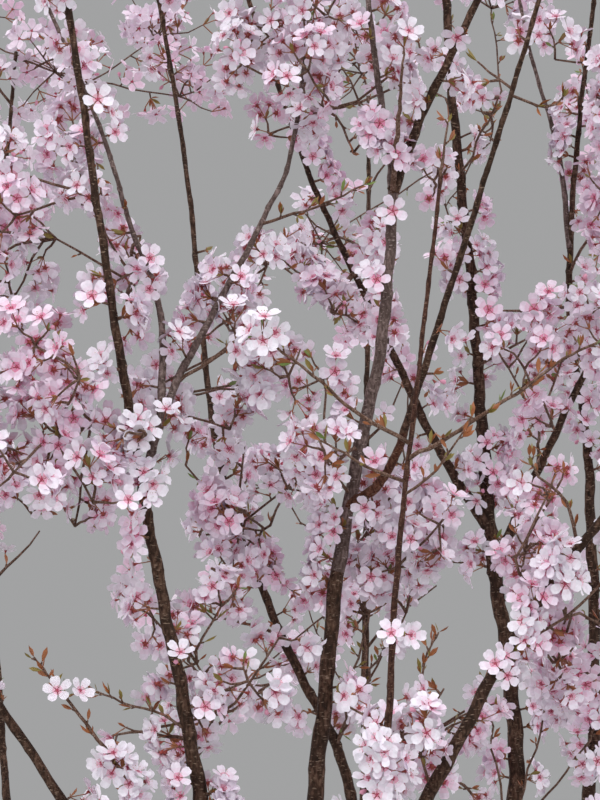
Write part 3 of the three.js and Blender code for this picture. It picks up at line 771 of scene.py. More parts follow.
class Copies:
    """Places for copies of one shape: where, facing which way, how turned and how large."""

    def __init__(self):
        self.rows = []

    def add(self, place, facing, turn, scale):
        self.rows.append((*place, *facing, turn, *np.broadcast_to(scale, 3)))

    def fill(self, heap, points, faces, slot=0):
        """Adds a copy at each place. slot is one material slot, or one for each of the shape's faces."""
        if not self.rows:
            return
        rows = np.array(self.rows)
        z = rows[:, 3:6] / np.linalg.norm(rows[:, 3:6], axis=1)[:, None]
        x = np.cross(np.where(np.abs(z[:, 2:3]) < 0.9, UP, RIGHT), z)
        x /= np.linalg.norm(x, axis=1)[:, None]
        y = np.cross(z, x)
        cos, sin = np.cos(rows[:, 6:7]), np.sin(rows[:, 6:7])
        x, y = cos * x + sin * y, cos * y - sin * x
        axes = np.stack([x, y, z], 1) * rows[:, 7:10][:, :, None]
        placed = np.einsum("vk,nkj->nvj", points, axes) + rows[:, None, :3]
        shifts = np.arange(len(rows))[:, None, None] * len(points)
        slots = np.tile(np.broadcast_to(slot, len(faces)), len(rows))
        heap.add(placed.reshape(-1, 3), (faces[None] + shifts).reshape(-1, 3), slots)


# Sprays: side twigs with an umbel of flowers on their tips, and more on short spurs along them.

TWIG_BEND = 0.8  # how strongly a twig keeps its first heading
TWIG_STEP = 20.0  # between the points of a twig, about
SPUR_LENGTH = 6.0
NEAR_DEPTH = 450.0  # flowers further back than this are made simply
BUD_SHARE = 0.08
LEAST_FLOWERS = 4  # that a spray bears, or its twig is left out
LARGE_SPRAY = 70.0  # from this size on, a spray has more twiglets
TONE_SHARE = 0.75  # of a spray's flowers that have the spray's own tone
TONES = ("white", "pale", "rose")
MASS_TONES = (0.45, 0.43, 0.12)  # the share of each tone
PINKER_TONES = (0.15, 0.45, 0.40)
LIMB_TONES = (0.40, 0.45, 0.15)
PINKER_MASSES = ("left_outer_blossom", "low_right_blossom", "far_right_blossom", "right_low_blossom")
LEAF_TONES = ("bronze", "olive", "green")
LEAF_TONE_SHARES = (0.6, 0.33, 0.07)
GAP_REACH = 6.0  # how far the middle of a flower stays out of a gap
HIDE_REACH = 12.0  # and off the line of a bough in view
FORK_IN_VIEW = (1795, 1935)  # the stretch of the centre fork that flowers keep off too
FLOWER_REACH = 20.0  # from the foot of an umbel to the middle of a flower, about
SPRAY_MARGIN = 6.0  # how far flowers may lie outside their spray
BARE_END = 8.0  # of a twig, without spurs
LIMB_BARE_END = 20.0
LIMB_SPRAY = 45.0  # sizes of the sprays on limbs, on their short side twigs and on single twigs in view
LIMB_TWIG_SPRAY = 95.0
SIDE_SPRAY = 60.0
LIMB_SPUR_SHARE = 0.5  # of the simpler clusters on limbs that stand on short spurs and not on side twigs
CROSSING_SHARE = 0.15  # of the clusters on short spurs that may hide a bough in view
SIDE_TWIG_STEP = 9.0
SIDE_TWIG_FIRST_SPUR = 18.0
LEAF_SPUR = (1.1, 1.1, 4.5)
LEAF_SPUR_SPACING = 22.0
LEAF_SPUR_SHARE = 0.7
BARE_SPUR = (1.3, 1.3, 3.5)
BRACTS = 3  # young leaves round the foot of an umbel
DRESSING_SEED = 20
LIMB_SPUR_SPACING = 46.0
SPUR_LIMB_RADIUS = 8.5  # thicker limbs bear no spurs
LOWEST_SPUR = 1000.0
LIMB_CLUSTER_LIFT = 0.2
LIMB_CLUSTER_SPUR = 7.0
SIDE_SPUR_SPACING = {"leaves": (10, 20), "flowers": (20, 34), "bare": (20, 34)}

# How each detail of spray is dressed: spacing of spurs, numbers of flowers in an umbel, share of umbels with
# young leaves, sides of a twig, radius and steps of a stalk, size of a flower, and its eye.
Dress = namedtuple("Dress", "spacing flowers leafy sides stalk steps size eye")
SPRAY_DRESS = {
    "near": Dress(34.0, (3, 4, 4, 5, 5), 0.8, 5, 0.60, 2, 1.0, cone(6, 2.8, 0.36, 0.9)),
    "far": Dress(40.0, (3, 3, 4), 0.35, 3, 0.9, 1, 1.12, cone(3, 3.0, 0.44, 1.1)),
}

# Smaller gaps in the blossom: only flowers keep out of them.
FLOWER_GAPS = np.array([
    (25, 2235, 10, 35), (14, 2176, 19, 22), (160, 2165, 20, 45), (216, 2135, 20, 55), (116, 1942, 10, 18),
    (116, 1856, 14, 13), (20, 1814, 12, 16), (22, 1838, 9, 12), (177, 1910, 15, 24), (121, 1590, 10, 16),
    (-140, 1736, 14, 22), (34, 1938, 10, 20), (40, 1683, 16, 11), (-55, 1688, 14, 11), (133, 2044, 9, 15),
    (-122, 2082, 14, 18), (-200, 2100, 9, 12), (-18, 2161, 12, 10), (-234, 1590, 15, 16), (88, 1900, 9, 22),
    (170, 1779, 12, 12), (263, 1758, 10, 15), (242, 1915, 14, 10), (62, 2214, 12, 14), (1, 2092, 13, 13),
    (113, 2180, 10, 14), (176, 2243, 17, 13), (172, 1575, 12, 11), (150, 1878, 16, 10), (154, 2283, 13, 27),
    (234, 2248, 17, 22), (102, 2297, 12, 24), (49, 2117, 14, 15), (73, 1895, 9, 40), (112, 1832, 8, 12),
    (142, 1779, 11, 33), (232, 1864, 9, 18), (249, 1792, 18, 24), (-7, 1981, 20, 13), (31, 1641, 24, 18),
    (22, 1557, 20, 18), (209, 1564, 12, 18), (-214, 1625, 20, 35), (-56, 1784, 18, 22), (-118, 1672, 10, 20),
    (-142, 1833, 16, 15), (-48, 2010, 12, 34), (-67, 1873, 17, 12), (-110, 1912, 10, 18),
    (-160, 2078, 24, 30), (-59, 2138, 29, 31), (-54, 2096, 22, 17), (44, 2147, 13, 13), (108, 2220, 9, 30),
    (153, 2194, 25, 9), (201, 2190, 25, 25), (214, 2229, 15, 17), (171, 2278, 14, 21), (144, 2120, 9, 23),
    (120, 2105, 14, 9), (19, 2096, 18, 8), (3, 2064, 12, 9), (138, 2312, 12, 11), (-27, 1987, 17, 19),
    (105, 2006, 9, 29), (130, 1998, 9, 12), (160, 2011, 12, 8), (222, 2035, 28, 10), (36, 1890, 12, 18),
    (59, 1870, 13, 13), (209, 1840, 11, 14), (261, 1814, 12, 43), (-73, 1792, 16, 14), (116, 1832, 9, 11),
    (-32, 1736, 13, 11), (-8, 1675, 15, 13), (-23, 1612, 10, 22), (-72, 1714, 11, 10), (-70, 1636, 11, 12),
    (80, 1692, 9, 7), (84, 1638, 15, 16), (50, 1624, 13, 14), (178, 1686, 14, 22), (162, 1724, 8, 18),
    (188, 1529, 12, 24), (226, 1543, 10, 11), (130, 1539, 12, 10), (118, 1511, 15, 8), (3, 1520, 12, 16),
    (244, 1570, 12, 9), (-259, 2070, 20, 40), (-248, 1972, 14, 17), (-229, 2148, 10, 15),
    (-152, 2041, 15, 20), (-174, 1989, 13, 13), (-197, 1946, 15, 11), (-112, 1958, 8, 12),
    (-222, 1911, 9, 13), (-118, 1893, 9, 12), (-173, 1865, 9, 24), (-188, 1819, 11, 9), (-281, 1768, 46, 22),
    (-227, 1729, 14, 20), (-203, 1668, 11, 11), (-179, 1642, 17, 9), (-102, 1668, 13, 11),
    (-130, 1642, 15, 8), (-84, 1865, 7, 12), (-107, 1560, 8, 12),
])

ALL_GAPS = np.concatenate([SKY_GAPS, FLOWER_GAPS])

# Single twigs in view: limb, height where they leave it, foot diameter, what they carry, and their places.
SIDE_TWIGS = [
    ("front_shoot", 1827, 4.4, "leaves", [(22, -290, 1852), (-11, -305, 1878), (-48, -318, 1906),
                                          (-64, -325, 1921)]),
    ("front_shoot", 1814, 4.6, "leaves", [(108, -285, 1835), (144, -295, 1858), (177, -300, 1879),
                                          (208, -305, 1901), (238, -310, 1915), (275, -315, 1938)]),
    ("front_shoot", 1793, 3.6, "leaves", [(35, -280, 1803), (7, -290, 1818), (-11, -295, 1827)]),
    ("front_shoot", 1782, 3.0, "leaves", [(88, -275, 1798), (104, -285, 1819), (116, -290, 1836)]),
    ("centre_bough", 1808, 4.0, "flowers", [(-5, -55, 1828), (-32, -95, 1826)]),
    ("left_bough", 1430, 5.4, "leaves", [(-165, -125, 1490), (-211, -140, 1552), (-243, -150, 1595),
                                         (-262, -153, 1618), (-279, -155, 1640)]),
    ("left_bough", 1570, 3.2, "leaves", [(-160, -135, 1588), (-193, -150, 1597), (-220, -160, 1609)]),
    ("crossing_bough", 1680, 4.0, "flowers", [(-83, 170, 1688), (-104, 150, 1691), (-122, 140, 1697)]),
    ("left_inner_limb", 2075, 3.6, "leaves", [(-30, -70, 2084), (-3, -85, 2090), (32, -100, 2105)]),
    ("leaning_bough", 1515, 3.2, "leaves", [(84, -85, 1564), (87, -90, 1624), (93, -92, 1648),
                                            (103, -95, 1666)]),
    ("leaning_bough", 1745, 4.0, "leaves", [(223, -140, 1788), (196, -155, 1811), (187, -160, 1830)]),
    ("right_bough", 2240, 2.6, "leaves", [(173, 262, 2250), (187, 250, 2234)]),
    ("right_bough", 1985, 4.0, "flowers", [(198, 270, 1998), (222, 252, 2010), (240, 240, 2014)]),
    ("centre_fork", 2155, 3.0, "leaves", [(188, -245, 2148), (201, -250, 2146), (214, -252, 2152)]),
    ("centre_fork", 2160, 3.0, "flowers", [(150, -228, 2182), (136, -224, 2196)]),
    ("centre_bough", 2105, 6.5, "bare", [(66, -95, 2160), (69, -110, 2200), (72, -115, 2240)]),
    ("front_shoot", 2064, 3.4, "leaves", [(99, -293, 2082), (102, -294, 2100), (104, -296, 2118)]),
]

# Clusters that stand alone in view: place, the way they face, number of flowers and tone.
LONE_CLUSTERS = [
    ((-247, -158, 1603), (0.1, -0.95, 0.35), 2, "white"),
    ((-62, -322, 1915), (0.0, -0.9, 0.4), 4, "white"),
    ((62, -50, 2085), (0.1, -1.0, 0.1), 1, "pale"),
    ((58, -250, 1655), (0.2, -1.0, 0.1), 2, "pale"),
    ((-203, -138, 1541), (0.1, -0.95, 0.1), 5, "white"),
    ((-190, -133, 1523), (0.6, -0.8, 0.1), 4, "white"),
    ((-178, -129, 1507), (-0.6, -0.75, -0.2), 4, "pale"),
]

# Clusters on a bough in view: height, turn in degrees from the front to the right, and number of flowers.
LIMB_CLUSTERS = {
    "right_bough": [
        (2226, 70, 5), (2158, 55, 4), (2134, -45, 3), (2112, 37, 3), (2104, -53, 4), (2090, 65, 5),
        (2078, -60, 4), (2068, 55, 4), (2000, 110, 4), (1965, -95, 4), (1890, 30, 4), (1872, -45, 4),
        (1856, 35, 5), (1838, -30, 4), (1775, -75, 5), (1758, -85, 4), (1625, 65, 5), (1600, 70, 5),
        (1580, 100, 4), (1545, -65, 5), (1525, -70, 4), (1522, 75, 5),
    ],
    "far_right_bough": [
        (2285, -85, 4), (2258, -60, 5), (2235, -70, 4), (1966, -40, 4), (1945, 35, 5), (1922, -30, 4),
        (1900, 25, 4), (1735, 75, 4), (1712, 80, 4), (1580, 50, 5), (1560, -60, 4), (1540, 30, 4),
    ],
    "bare_limb": [(2375, 50, 4), (2392, 80, 4)],
    "left_bough": [
        (1498, 70, 5), (1512, 80, 4), (1500, -65, 5), (1522, -70, 4), (1785, -10, 4), (1805, 30, 4),
        (1826, -30, 5), (1848, 15, 4), (1968, -75, 4), (1955, 80, 4), (1490, 60, 5), (1505, 95, 5),
    ],
    "centre_bough": [
        (1600, 62, 4), (1615, 80, 4), (1742, -65, 5), (1722, -75, 4), (1792, -85, 4), (1772, -95, 4),
    ],
    "front_shoot": [(1552, -20, 5), (1535, 25, 5), (1515, -30, 5), (1495, 20, 5)],
    "leaning_bough": [(1630, 20, 4), (1672, 25, 5), (1694, -20, 4), (1716, 30, 5), (1738, -25, 5)],
    "left_inner_limb": [(1965, -90, 4), (1990, -80, 5), (2015, -70, 4)],
    "crossing_bough": [
        (1770, -40, 5), (1790, -45, 5), (1810, 37, 4), (1830, -53, 5), (1890, 58, 4), (1915, 65, 5),
        (1935, 50, 4),
    ],
    "centre_left_top": [(2150, -20, 5), (2168, -40, 4)],
    "right_inner_limb": [(2150, 58, 4), (2175, 65, 5), (2195, 50, 4), (2215, 70, 4)],
}


def turned_about(vector, axis, turn):
    """vector, which is square to axis, turned about it."""
    return vector * math.cos(turn) + np.cross(axis, vector) * math.sin(turn)


def square_to(axis):
    return unit(np.cross(axis, UP if abs(axis[2]) < 0.9 else RIGHT))


def bent_line(start, end, rng, steps, bend):
    """A line of points from start to end that wanders a little."""
    run = end - start
    length = np.linalg.norm(run)
    side = square_to(run / length)
    across = np.cross(run / length, side)
    shares = np.linspace(0, 1, steps + 1)
    sway = np.stack([np.sin(math.pi * shares), 0.5 * np.sin(2 * math.pi * shares)])
    stray = bend * length * rng.normal(size=(2, 2)) @ sway
    return start + shares[:, None] * run + stray[0][:, None] * side + stray[1][:, None] * across


def grown_line(start, end, heading, rng):
    """A line of points that leaves start in its heading and bends over to reach end."""
    run = end - start
    length = np.linalg.norm(run)
    steps = max(4, int(length / TWIG_STEP))
    t = np.linspace(0, 1, steps + 1)[:, None]
    leave = TWIG_BEND * length * heading
    line = start + (3 * t**2 - 2 * t**3) * run + (t**3 - 2 * t**2 + t) * leave + (t**3 - t**2) * run
    line[1:-1] += rng.normal(0, 0.01 * length, (steps - 1, 3))
    return line


class Shoot:
    """A line of points on which spurs stand."""

    def __init__(self, line):
        self.line = line
        self.lengths = np.concatenate([[0], np.cumsum(np.linalg.norm(np.diff(line, axis=0), axis=1))])
        self.length = self.lengths[-1]
        self.axis = unit(line[-1] - line[0])

    def point(self, place):
        return np.array([np.interp(place, self.lengths, self.line[:, k]) for k in range(3)])

    def out(self, turn, lean):
        return unit(turned_about(square_to(self.axis), self.axis, turn) + lean * self.axis)


def spread_directions(count, rng):
    """Directions spread evenly all round, as a whole turned at random."""
    k = np.arange(count) + 0.5
    polar = 1 - 2 * k / count
    turn = FULL_TURN * rng.random() + GOLDEN_TURN * k
    flat = np.sqrt(1 - polar**2)
    rows = np.stack([flat * np.cos(turn), flat * np.sin(turn), polar], -1)
    basis, _ = np.linalg.qr(rng.normal(size=(3, 3)))
    return rows @ basis


class Dresser:
    """Gathers every small thing on the tree until the pieces are made."""

    def __init__(self, shown_places):
        self.shown_places = shown_places
        self.rng = np.random.default_rng(DRESSING_SEED)
        self.flower_count = 0
        self.twigs = {detail: Heap() for detail in SPRAY_DRESS}
        self.flowers = {kind: Copies() for kind in product(TONES, SPRAY_DRESS, range(FLOWER_SHAPES))}
        self.stalks, self.spurs, self.buds = ({detail: Copies() for detail in SPRAY_DRESS} for _ in range(3))
        self.leaves = {tone: Copies() for tone in LEAF_TONES}
        kinds = (self.twigs, self.flowers, self.stalks, self.spurs, self.buds, self.leaves)
        self.stores = [store for kind in kinds for store in kind.values()]

    def random_turn(self):
        return self.rng.uniform(0, FULL_TURN)

    def detail_at(self, place):
        return "near" if is_near(place) and place[1] < NEAR_DEPTH else "far"

    def is_open(self, place, may_cross=False):
        """True where no flower may be, because the sky or a bough shows there."""
        if not is_near(place):
            return False
        if is_in_gap(place, GAP_REACH, ALL_GAPS):
            return True
        return not may_cross and hides_limb(self.shown_places, place, HIDE_REACH)

    def add_twig(self, line, start_radius, end_radius, detail):
        radii = np.linspace(start_radius, end_radius, len(line))
        self.twigs[detail].add(*tube(line, radii, SPRAY_DRESS[detail].sides))

    def add_leaves(self, base, out, most):
        for _ in range(int(self.rng.integers(1, most + 1))):
            tone = self.rng.choice(LEAF_TONES, p=LEAF_TONE_SHARES)
            heading = unit(out + self.rng.normal(0, 0.35, 3) + 0.3 * UP)
            self.leaves[tone].add(base, heading, self.random_turn(), self.rng.uniform(8, 16))

    def add_leafy_spur(self, point, out, most):
        self.spurs["near"].add(point, out, 0, LEAF_SPUR)
        self.add_leaves(point + out * 4, out, most)

    def add_bracts(self, base, out):
        """Small bronze leaves round the foot of an umbel."""
        side = square_to(out)
        turn = self.random_turn()
        for i in range(BRACTS):
            heading = unit(out + 0.9 * turned_about(side, out, turn + FULL_TURN * i / BRACTS))
            self.leaves["bronze"].add(base, heading, self.random_turn(), self.rng.uniform(4.5, 7.0))

    def add_flower(self, base, heading, tone, detail):
        """A flower, or now and then a bud, on its stalk."""
        rng = self.rng
        dress = SPRAY_DRESS[detail]
        is_bud = rng.random() < BUD_SHARE
        reach = rng.uniform(8, 12) if is_bud else rng.uniform(10, 17) * dress.size
        facing = unit(heading + rng.normal(0, 0.28, 3))
        scale = dress.size * rng.uniform(0.80, 1.05)
        foot = base + heading * reach
        self.stalks[detail].add(base, heading, self.random_turn(), (dress.stalk, dress.stalk, reach))
        self.flower_count += 1
        if is_bud:
            self.buds[detail].add(foot, facing, 0, 0.9 * scale)
            return
        shape = int(rng.integers(FLOWER_SHAPES))
        place = foot + facing * CALYX_LENGTH * scale
        self.flowers[tone, detail, shape].add(place, facing, self.random_turn(), scale)

    def add_umbel(self, base, out, spray, tone, detail, may_cross=False):
        """A ring of flowers on stalks from one point. Gives whether any grew."""
        rng = self.rng
        count = rng.choice(SPRAY_DRESS[detail].flowers)
        side = square_to(out)
        first_turn = self.random_turn()
        grew = False
        for i in range(count):
            lean = turned_about(side, out, first_turn + FULL_TURN * i / count + rng.uniform(-0.4, 0.4))
            heading = unit(out + lean * rng.uniform(0.35, 1.2) + rng.normal(0, 0.12, 3) - UP * 0.10)
            place = base + heading * FLOWER_REACH
            off = np.linalg.norm(place - spray.place)
            if off > spray.size + SPRAY_MARGIN or self.is_open(place, may_cross):
                continue
            own_tone = tone if rng.random() < TONE_SHARE else rng.choice(TONES)
            self.add_flower(base, heading, own_tone, detail)
            grew = True
        if grew and rng.random() < SPRAY_DRESS[detail].leafy:
            self.add_leaves(base, out, 3)
        if grew and detail == "near":
            self.add_bracts(base, out)
        return grew

    def add_spur(self, place, out, spray, tone, detail, may_cross=False):
        length = SPUR_LENGTH * self.rng.uniform(0.6, 1.8)
        if self.add_umbel(place + out * length, out, spray, tone, detail, may_cross):
            thick = self.rng.uniform(1.1, 1.7)
            self.spurs[detail].add(place, out, 0, (thick, thick, length))

    def add_axis(self, line, spray, tone, detail, last=math.inf):
        """Spurs by turns round a twig, or only round the last stretch of it, with an umbel on each."""
        rng = self.rng
        spacing = SPRAY_DRESS[detail].spacing
        shoot = Shoot(line)
        turn = self.random_turn()
        place = max(shoot.length - last, 0) + rng.uniform(0.4, 0.9) * spacing
        while place < shoot.length - BARE_END:
            self.add_spur(shoot.point(place), shoot.out(turn, 0.35), spray, tone, detail)
            turn += GOLDEN_TURN + rng.uniform(-0.3, 0.3)
            place += spacing * rng.uniform(0.75, 1.25)

    def add_leaf_spurs(self, line):
        """Short spurs with young leaves where a twig crosses a gap in the blossom."""
        rng = self.rng
        shoot = Shoot(line)
        place = LEAF_SPUR_SPACING * rng.uniform(0.2, 1.0)
        while place < shoot.length:
            point = shoot.point(place)
            out = shoot.out(self.random_turn(), 0.8)
            place += LEAF_SPUR_SPACING * rng.uniform(0.6, 1.4)
            if self.is_open(point) and rng.random() < LEAF_SPUR_SHARE:
                self.add_leafy_spur(point, out, 3)

    def add_spray(self, spray, line, tone_shares):
        """Flowers on the last stretch of a twig and on small twigs that spread from its tip."""
        rng = self.rng
        detail = self.detail_at(spray.place)
        tone = rng.choice(TONES, p=tone_shares)
        self.add_axis(line, spray, tone, detail, last=0.95 * spray.size)
        for direction in spread_directions(4 if spray.size < LARGE_SPRAY else 8, rng):
            if direction @ spray.along < -0.8:
                continue
            heading = unit(direction + 0.3 * UP)
            end = spray.place + heading * spray.size * rng.uniform(0.45, 0.72)
            if self.is_open(end):
                continue
            twiglet = bent_line(spray.place, end, rng, 3, 0.05)
            before = self.flower_count
            self.add_axis(twiglet, spray, tone, detail)
            self.add_umbel(twiglet[-1], heading, spray, tone, detail)
            if self.flower_count > before:
                self.add_twig(twiglet, 1.5, 0.9, detail)
                self.add_leaf_spurs(twiglet)

    def add_mass(self, twigs, sprays, tone_shares):
        """A spray with too few flowers isn't grown, and what goes on from it goes on from the one before."""
        homes = {}
        for (start, end, start_radius, end_radius, heading), spray in zip(twigs, sprays):
            home, heading = homes.get(id(start), (start, heading))
            sizes = [len(store.rows) for store in self.stores]
            before = self.flower_count
            line = grown_line(home, end, heading, self.rng)
            self.add_twig(line, 0.55 * start_radius, 0.5 * end_radius, self.detail_at(spray.place))
            self.add_spray(spray, line, tone_shares)
            if self.flower_count - before >= LEAST_FLOWERS:
                self.add_leaf_spurs(line)
                continue
            for store, size in zip(self.stores, sizes):
                del store.rows[size:]
            homes[id(end)] = (home, heading)

    def add_limb_spurs(self, limb):
        """Clusters on short spurs or short side twigs, where a limb is thin enough to bear them."""
        rng = self.rng
        length = limb.route.length
        place = LIMB_SPUR_SPACING
        turn = self.random_turn()
        while place < length - LIMB_BARE_END:
            share = place / length
            point, axis = limb.route.point(share), limb.route.tangent(share)
            radius = float(limb.radius(share))
            turn += GOLDEN_TURN + rng.uniform(-0.4, 0.4)
            place += LIMB_SPUR_SPACING * rng.uniform(0.6, 1.4)
            if radius > SPUR_LIMB_RADIUS or point[2] < LOWEST_SPUR:
                continue
            detail = self.detail_at(point)
            tone = rng.choice(TONES, p=LIMB_TONES)
            out = unit(turned_about(square_to(axis), axis, turn) + 0.25 * UP)
            base = point + out * 0.7 * radius
            if detail == "near" or rng.random() < LIMB_SPUR_SHARE:
                may_cross = rng.random() < CROSSING_SHARE
                self.add_spur(base, out, Spray(base, LIMB_SPRAY), tone, detail, may_cross)
                continue
            end = base + unit(out + 0.5 * axis) * rng.uniform(50, 120)
            spray = Spray((base + end) / 2, LIMB_TWIG_SPRAY)
            line = bent_line(base, end, rng, 4, 0.06)
            self.add_twig(line, 2.4, 1.1, detail)
            self.add_axis(line, spray, tone, detail)
            self.add_umbel(end, unit(end - base), spray, tone, detail)

    def add_side_twig(self, limb, height, foot, load, places):
        rng = self.rng
        route = Route([limb.route.point_at_height(height), *places])
        line = route.points(np.linspace(0, 1, max(6, int(route.length / SIDE_TWIG_STEP))))
        line[1:] += rng.normal(0, 0.5, (len(line) - 1, 3))
        self.add_twig(line, foot / 2, 0.9, "near")
        place, turn = SIDE_TWIG_FIRST_SPUR, self.random_turn()
        while place < route.length:
            point, axis = route.point(place / route.length), route.tangent(place / route.length)
            out = unit(turned_about(square_to(axis), axis, turn) + 0.8 * axis + 0.3 * UP)
            turn += GOLDEN_TURN
            if load == "bare":
                self.spurs["near"].add(point, out, 0, BARE_SPUR)
            elif load == "flowers":
                self.add_spur(point, out, Spray(point, SIDE_SPRAY), "pale", "near")
            else:
                self.add_leafy_spur(point, out, 4)
            place += rng.uniform(*SIDE_SPUR_SPACING[load])
        heading = unit(line[-1] - line[-2])
        if load == "bare":
            self.add_umbel(line[-1], heading, Spray(line[-1], SIDE_SPRAY), "white", "near", may_cross=True)
        else:
            self.add_leaves(line[-1], heading, 3)

    def add_limb_cluster(self, limb, height, degrees, count):
        turn = math.radians(degrees)
        facing = unit(np.array([math.sin(turn), -math.cos(turn), LIMB_CLUSTER_LIFT]))
        tone = self.rng.choice(TONES, p=LIMB_TONES)
        share = limb.route.share_at_height(height)
        foot = limb.route.point(share) + facing * 0.7 * float(limb.radius(share))
        self.spurs["near"].add(foot, facing, 0, (1.5, 1.5, LIMB_CLUSTER_SPUR))
        self.add_bracts(foot + facing * LIMB_CLUSTER_SPUR, facing)
        self.add_cluster(foot + facing * LIMB_CLUSTER_SPUR, facing, count, tone)

    def add_cluster(self, place, facing, count, tone):
        place, facing = np.array(place, float), unit(np.array(facing))
        side = square_to(facing)
        for i in range(count):
            lean = turned_about(side, facing, FULL_TURN * i / count) * (0.75 if count > 1 else 0)
            self.add_flower(place, unit(facing + lean), tone, "near")
        self.add_leaves(place, facing, 2)


# Materials

# Each bark: the colours of hollows, plain bark, raised grain and lenticels, and how fine its grain is.
BARKS = {
    "bark_brown": ((0.020, 0.010, 0.006), (0.070, 0.036, 0.022), (0.150, 0.088, 0.062),
                   (0.32, 0.23, 0.17), 1.0),
    "bark_grey": ((0.062, 0.040, 0.034), (0.145, 0.100, 0.090), (0.270, 0.200, 0.185),
                  (0.40, 0.32, 0.29), 1.2),
    "bark_reddish": ((0.040, 0.014, 0.008), (0.134, 0.055, 0.031), (0.230, 0.115, 0.075),
                     (0.36, 0.24, 0.17), 1.3),
    "bark_young": ((0.028, 0.010, 0.007), (0.076, 0.031, 0.020), (0.150, 0.078, 0.055),
                   (0.30, 0.18, 0.13), 1.5),
    "twig_bark": ((0.078, 0.038, 0.024), (0.190, 0.108, 0.078), (0.310, 0.215, 0.170),
                  (0.40, 0.30, 0.24), 2.0),
}
PETAL_PARTS = ("throat", "inner", "outer")
PETAL_COLOURS = {
    "white": ((0.81, 0.48, 0.60), (0.85, 0.765, 0.86), (0.86, 0.815, 0.90)),
    "pale": ((0.80, 0.38, 0.52), (0.87, 0.735, 0.855), (0.88, 0.80, 0.905)),
    "rose": ((0.76, 0.27, 0.43), (0.85, 0.63, 0.77), (0.87, 0.73, 0.86)),
}
# Each soft surface: colour, roughness and how fine its grain is.
SOFT_SURFACES = {
    "flower_eye": ((0.38, 0.035, 0.085), 0.6, 900),
    "filament": ((0.85, 0.52, 0.62), 0.5, 900),
    "anther": ((0.42, 0.26, 0.10), 0.7, 900),
    "calyx": ((0.36, 0.060, 0.050), 0.55, 500),
    "flower_stalk": ((0.34, 0.13, 0.06), 0.55, 500),
    "bud": ((0.78, 0.34, 0.48), 0.5, 400),
    "leaf_bronze": ((0.33, 0.11, 0.035), 0.45, 400),
    "leaf_olive": ((0.25, 0.19, 0.04), 0.45, 400),
    "leaf_green": ((0.17, 0.24, 0.05), 0.45, 400),
    "floor": ((0.38, 0.38, 0.375), 0.88, 40),
}
for _tone, _colours in PETAL_COLOURS.items():
    for _part, _colour in zip(PETAL_PARTS, _colours):
        SOFT_SURFACES[f"petal_{_part}_{_tone}"] = (_colour, 0.5, 260)
MOTTLE_SHADE = 0.90
NOWHERE = (0, 0, 0)  # how far one colour covers another
MOSTLY = (0.75, 0.75, 0.75)


class Paint:
    """A material under construction, with noise in the object's own coordinates."""

    def __init__(self, name, colour):
        self.material = bpy.data.materials.new(name)
        self.material.use_nodes = True
        self.material.diffuse_color = (*colour, 1)
        self.tree = self.material.node_tree
        self.shader = self.tree.nodes["Principled BSDF"]
        self.feed(self.shader, {"Base Color": (*colour, 1)})
        self.place = self.node("TexCoord", {}).outputs["Object"]

    def feed(self, node, inputs):
        """Sets inputs of a node to values, or links outputs to them."""
        for name, value in inputs.items():
            if isinstance(value, bpy.types.NodeSocket):
                self.tree.links.new(value, node.inputs[name])
            else:
                node.inputs[name].default_value = value

    def node(self, kind, inputs):
        node = self.tree.nodes.new("ShaderNode" + kind)
        self.feed(node, inputs)
        return node

    def noise(self, scale, detail, squash=(1, 1, 1)):
        mapping = self.node("Mapping", {"Vector": self.place, "Scale": squash})
        inputs = {"Vector": mapping.outputs["Vector"], "Scale": scale, "Detail": detail}
        return self.node("TexNoise", inputs).outputs["Fac"]

    def ramp(self, factor, *stops):
        node = self.node("ValToRGB", {"Fac": factor})
        elements = node.color_ramp.elements
        while len(elements) < len(stops):
            elements.new(1.0)
        for element, (position, colour) in zip(elements, stops):
            element.position = position
            element.color = (*colour, 1)
        return node.outputs["Color"]

    def mix(self, factor, first, colour):
        node = self.node("Mix", {})
        node.data_type = "RGBA"
        self.feed(node, {"Factor": factor, 6: first, 7: (*colour, 1)})
        return node.outputs[2]

    def finish(self, colour, grain, low, high, *layers):
        """Sets colour, roughness and bump. A layer of bump has a height, a strength and a depth in metres."""
        rough = self.node("MapRange", {"Value": grain, "To Min": low, "To Max": high})
        surface = {"Base Color": colour, "Roughness": rough.outputs["Result"]}
        for height, strength, depth in layers:
            below = {"Normal": surface["Normal"]} if "Normal" in surface else {}
            bump = self.node("Bump", {"Strength": strength, "Distance": depth, "Height": height, **below})
            surface["Normal"] = bump.outputs["Normal"]
        self.feed(self.shader, surface)
        return self.material


def soft_material(name):
    """One plain colour, faintly mottled, with a fine uneven surface."""
    colour, roughness, grain = SOFT_SURFACES[name]
    paint = Paint(name, colour)
    mottle = paint.noise(grain, 2)
    base = paint.ramp(mottle, (0.35, tuple(MOTTLE_SHADE * c for c in colour)), (0.60, colour))
    layer = (paint.noise(3 * grain, 1), 0.3, 0.0004)
    return paint.finish(base, mottle, roughness - 0.1, roughness + 0.1, layer)


def bark_material(name):
    """Bark with blotches, fine grain and pale dashes of lenticels across the limb."""
    dark, mid, light, pale, grain = BARKS[name]
    paint = Paint(name, mid)
    fine = paint.noise(330 * grain, 5, (1, 1, 0.45))
    speckles = paint.ramp(fine, (0.34, dark), (0.50, mid), (0.66, light))
    blotches = paint.ramp(paint.noise(55 * grain, 4, (1, 1, 0.6)), (0.38, MOSTLY), (0.62, NOWHERE))
    stained = paint.mix(blotches, speckles, dark)
    dashes = paint.noise(190 * grain, 3, (1, 1, 3.4))
    colour = paint.mix(paint.ramp(dashes, (0.60, NOWHERE), (0.70, MOSTLY)), stained, pale)
    paint.feed(paint.shader, {"Specular IOR Level": 0.2})
    return paint.finish(colour, fine, 0.68, 0.92, (fine, 0.8, 0.0016), (dashes, 0.6, 0.0012))


# The pieces

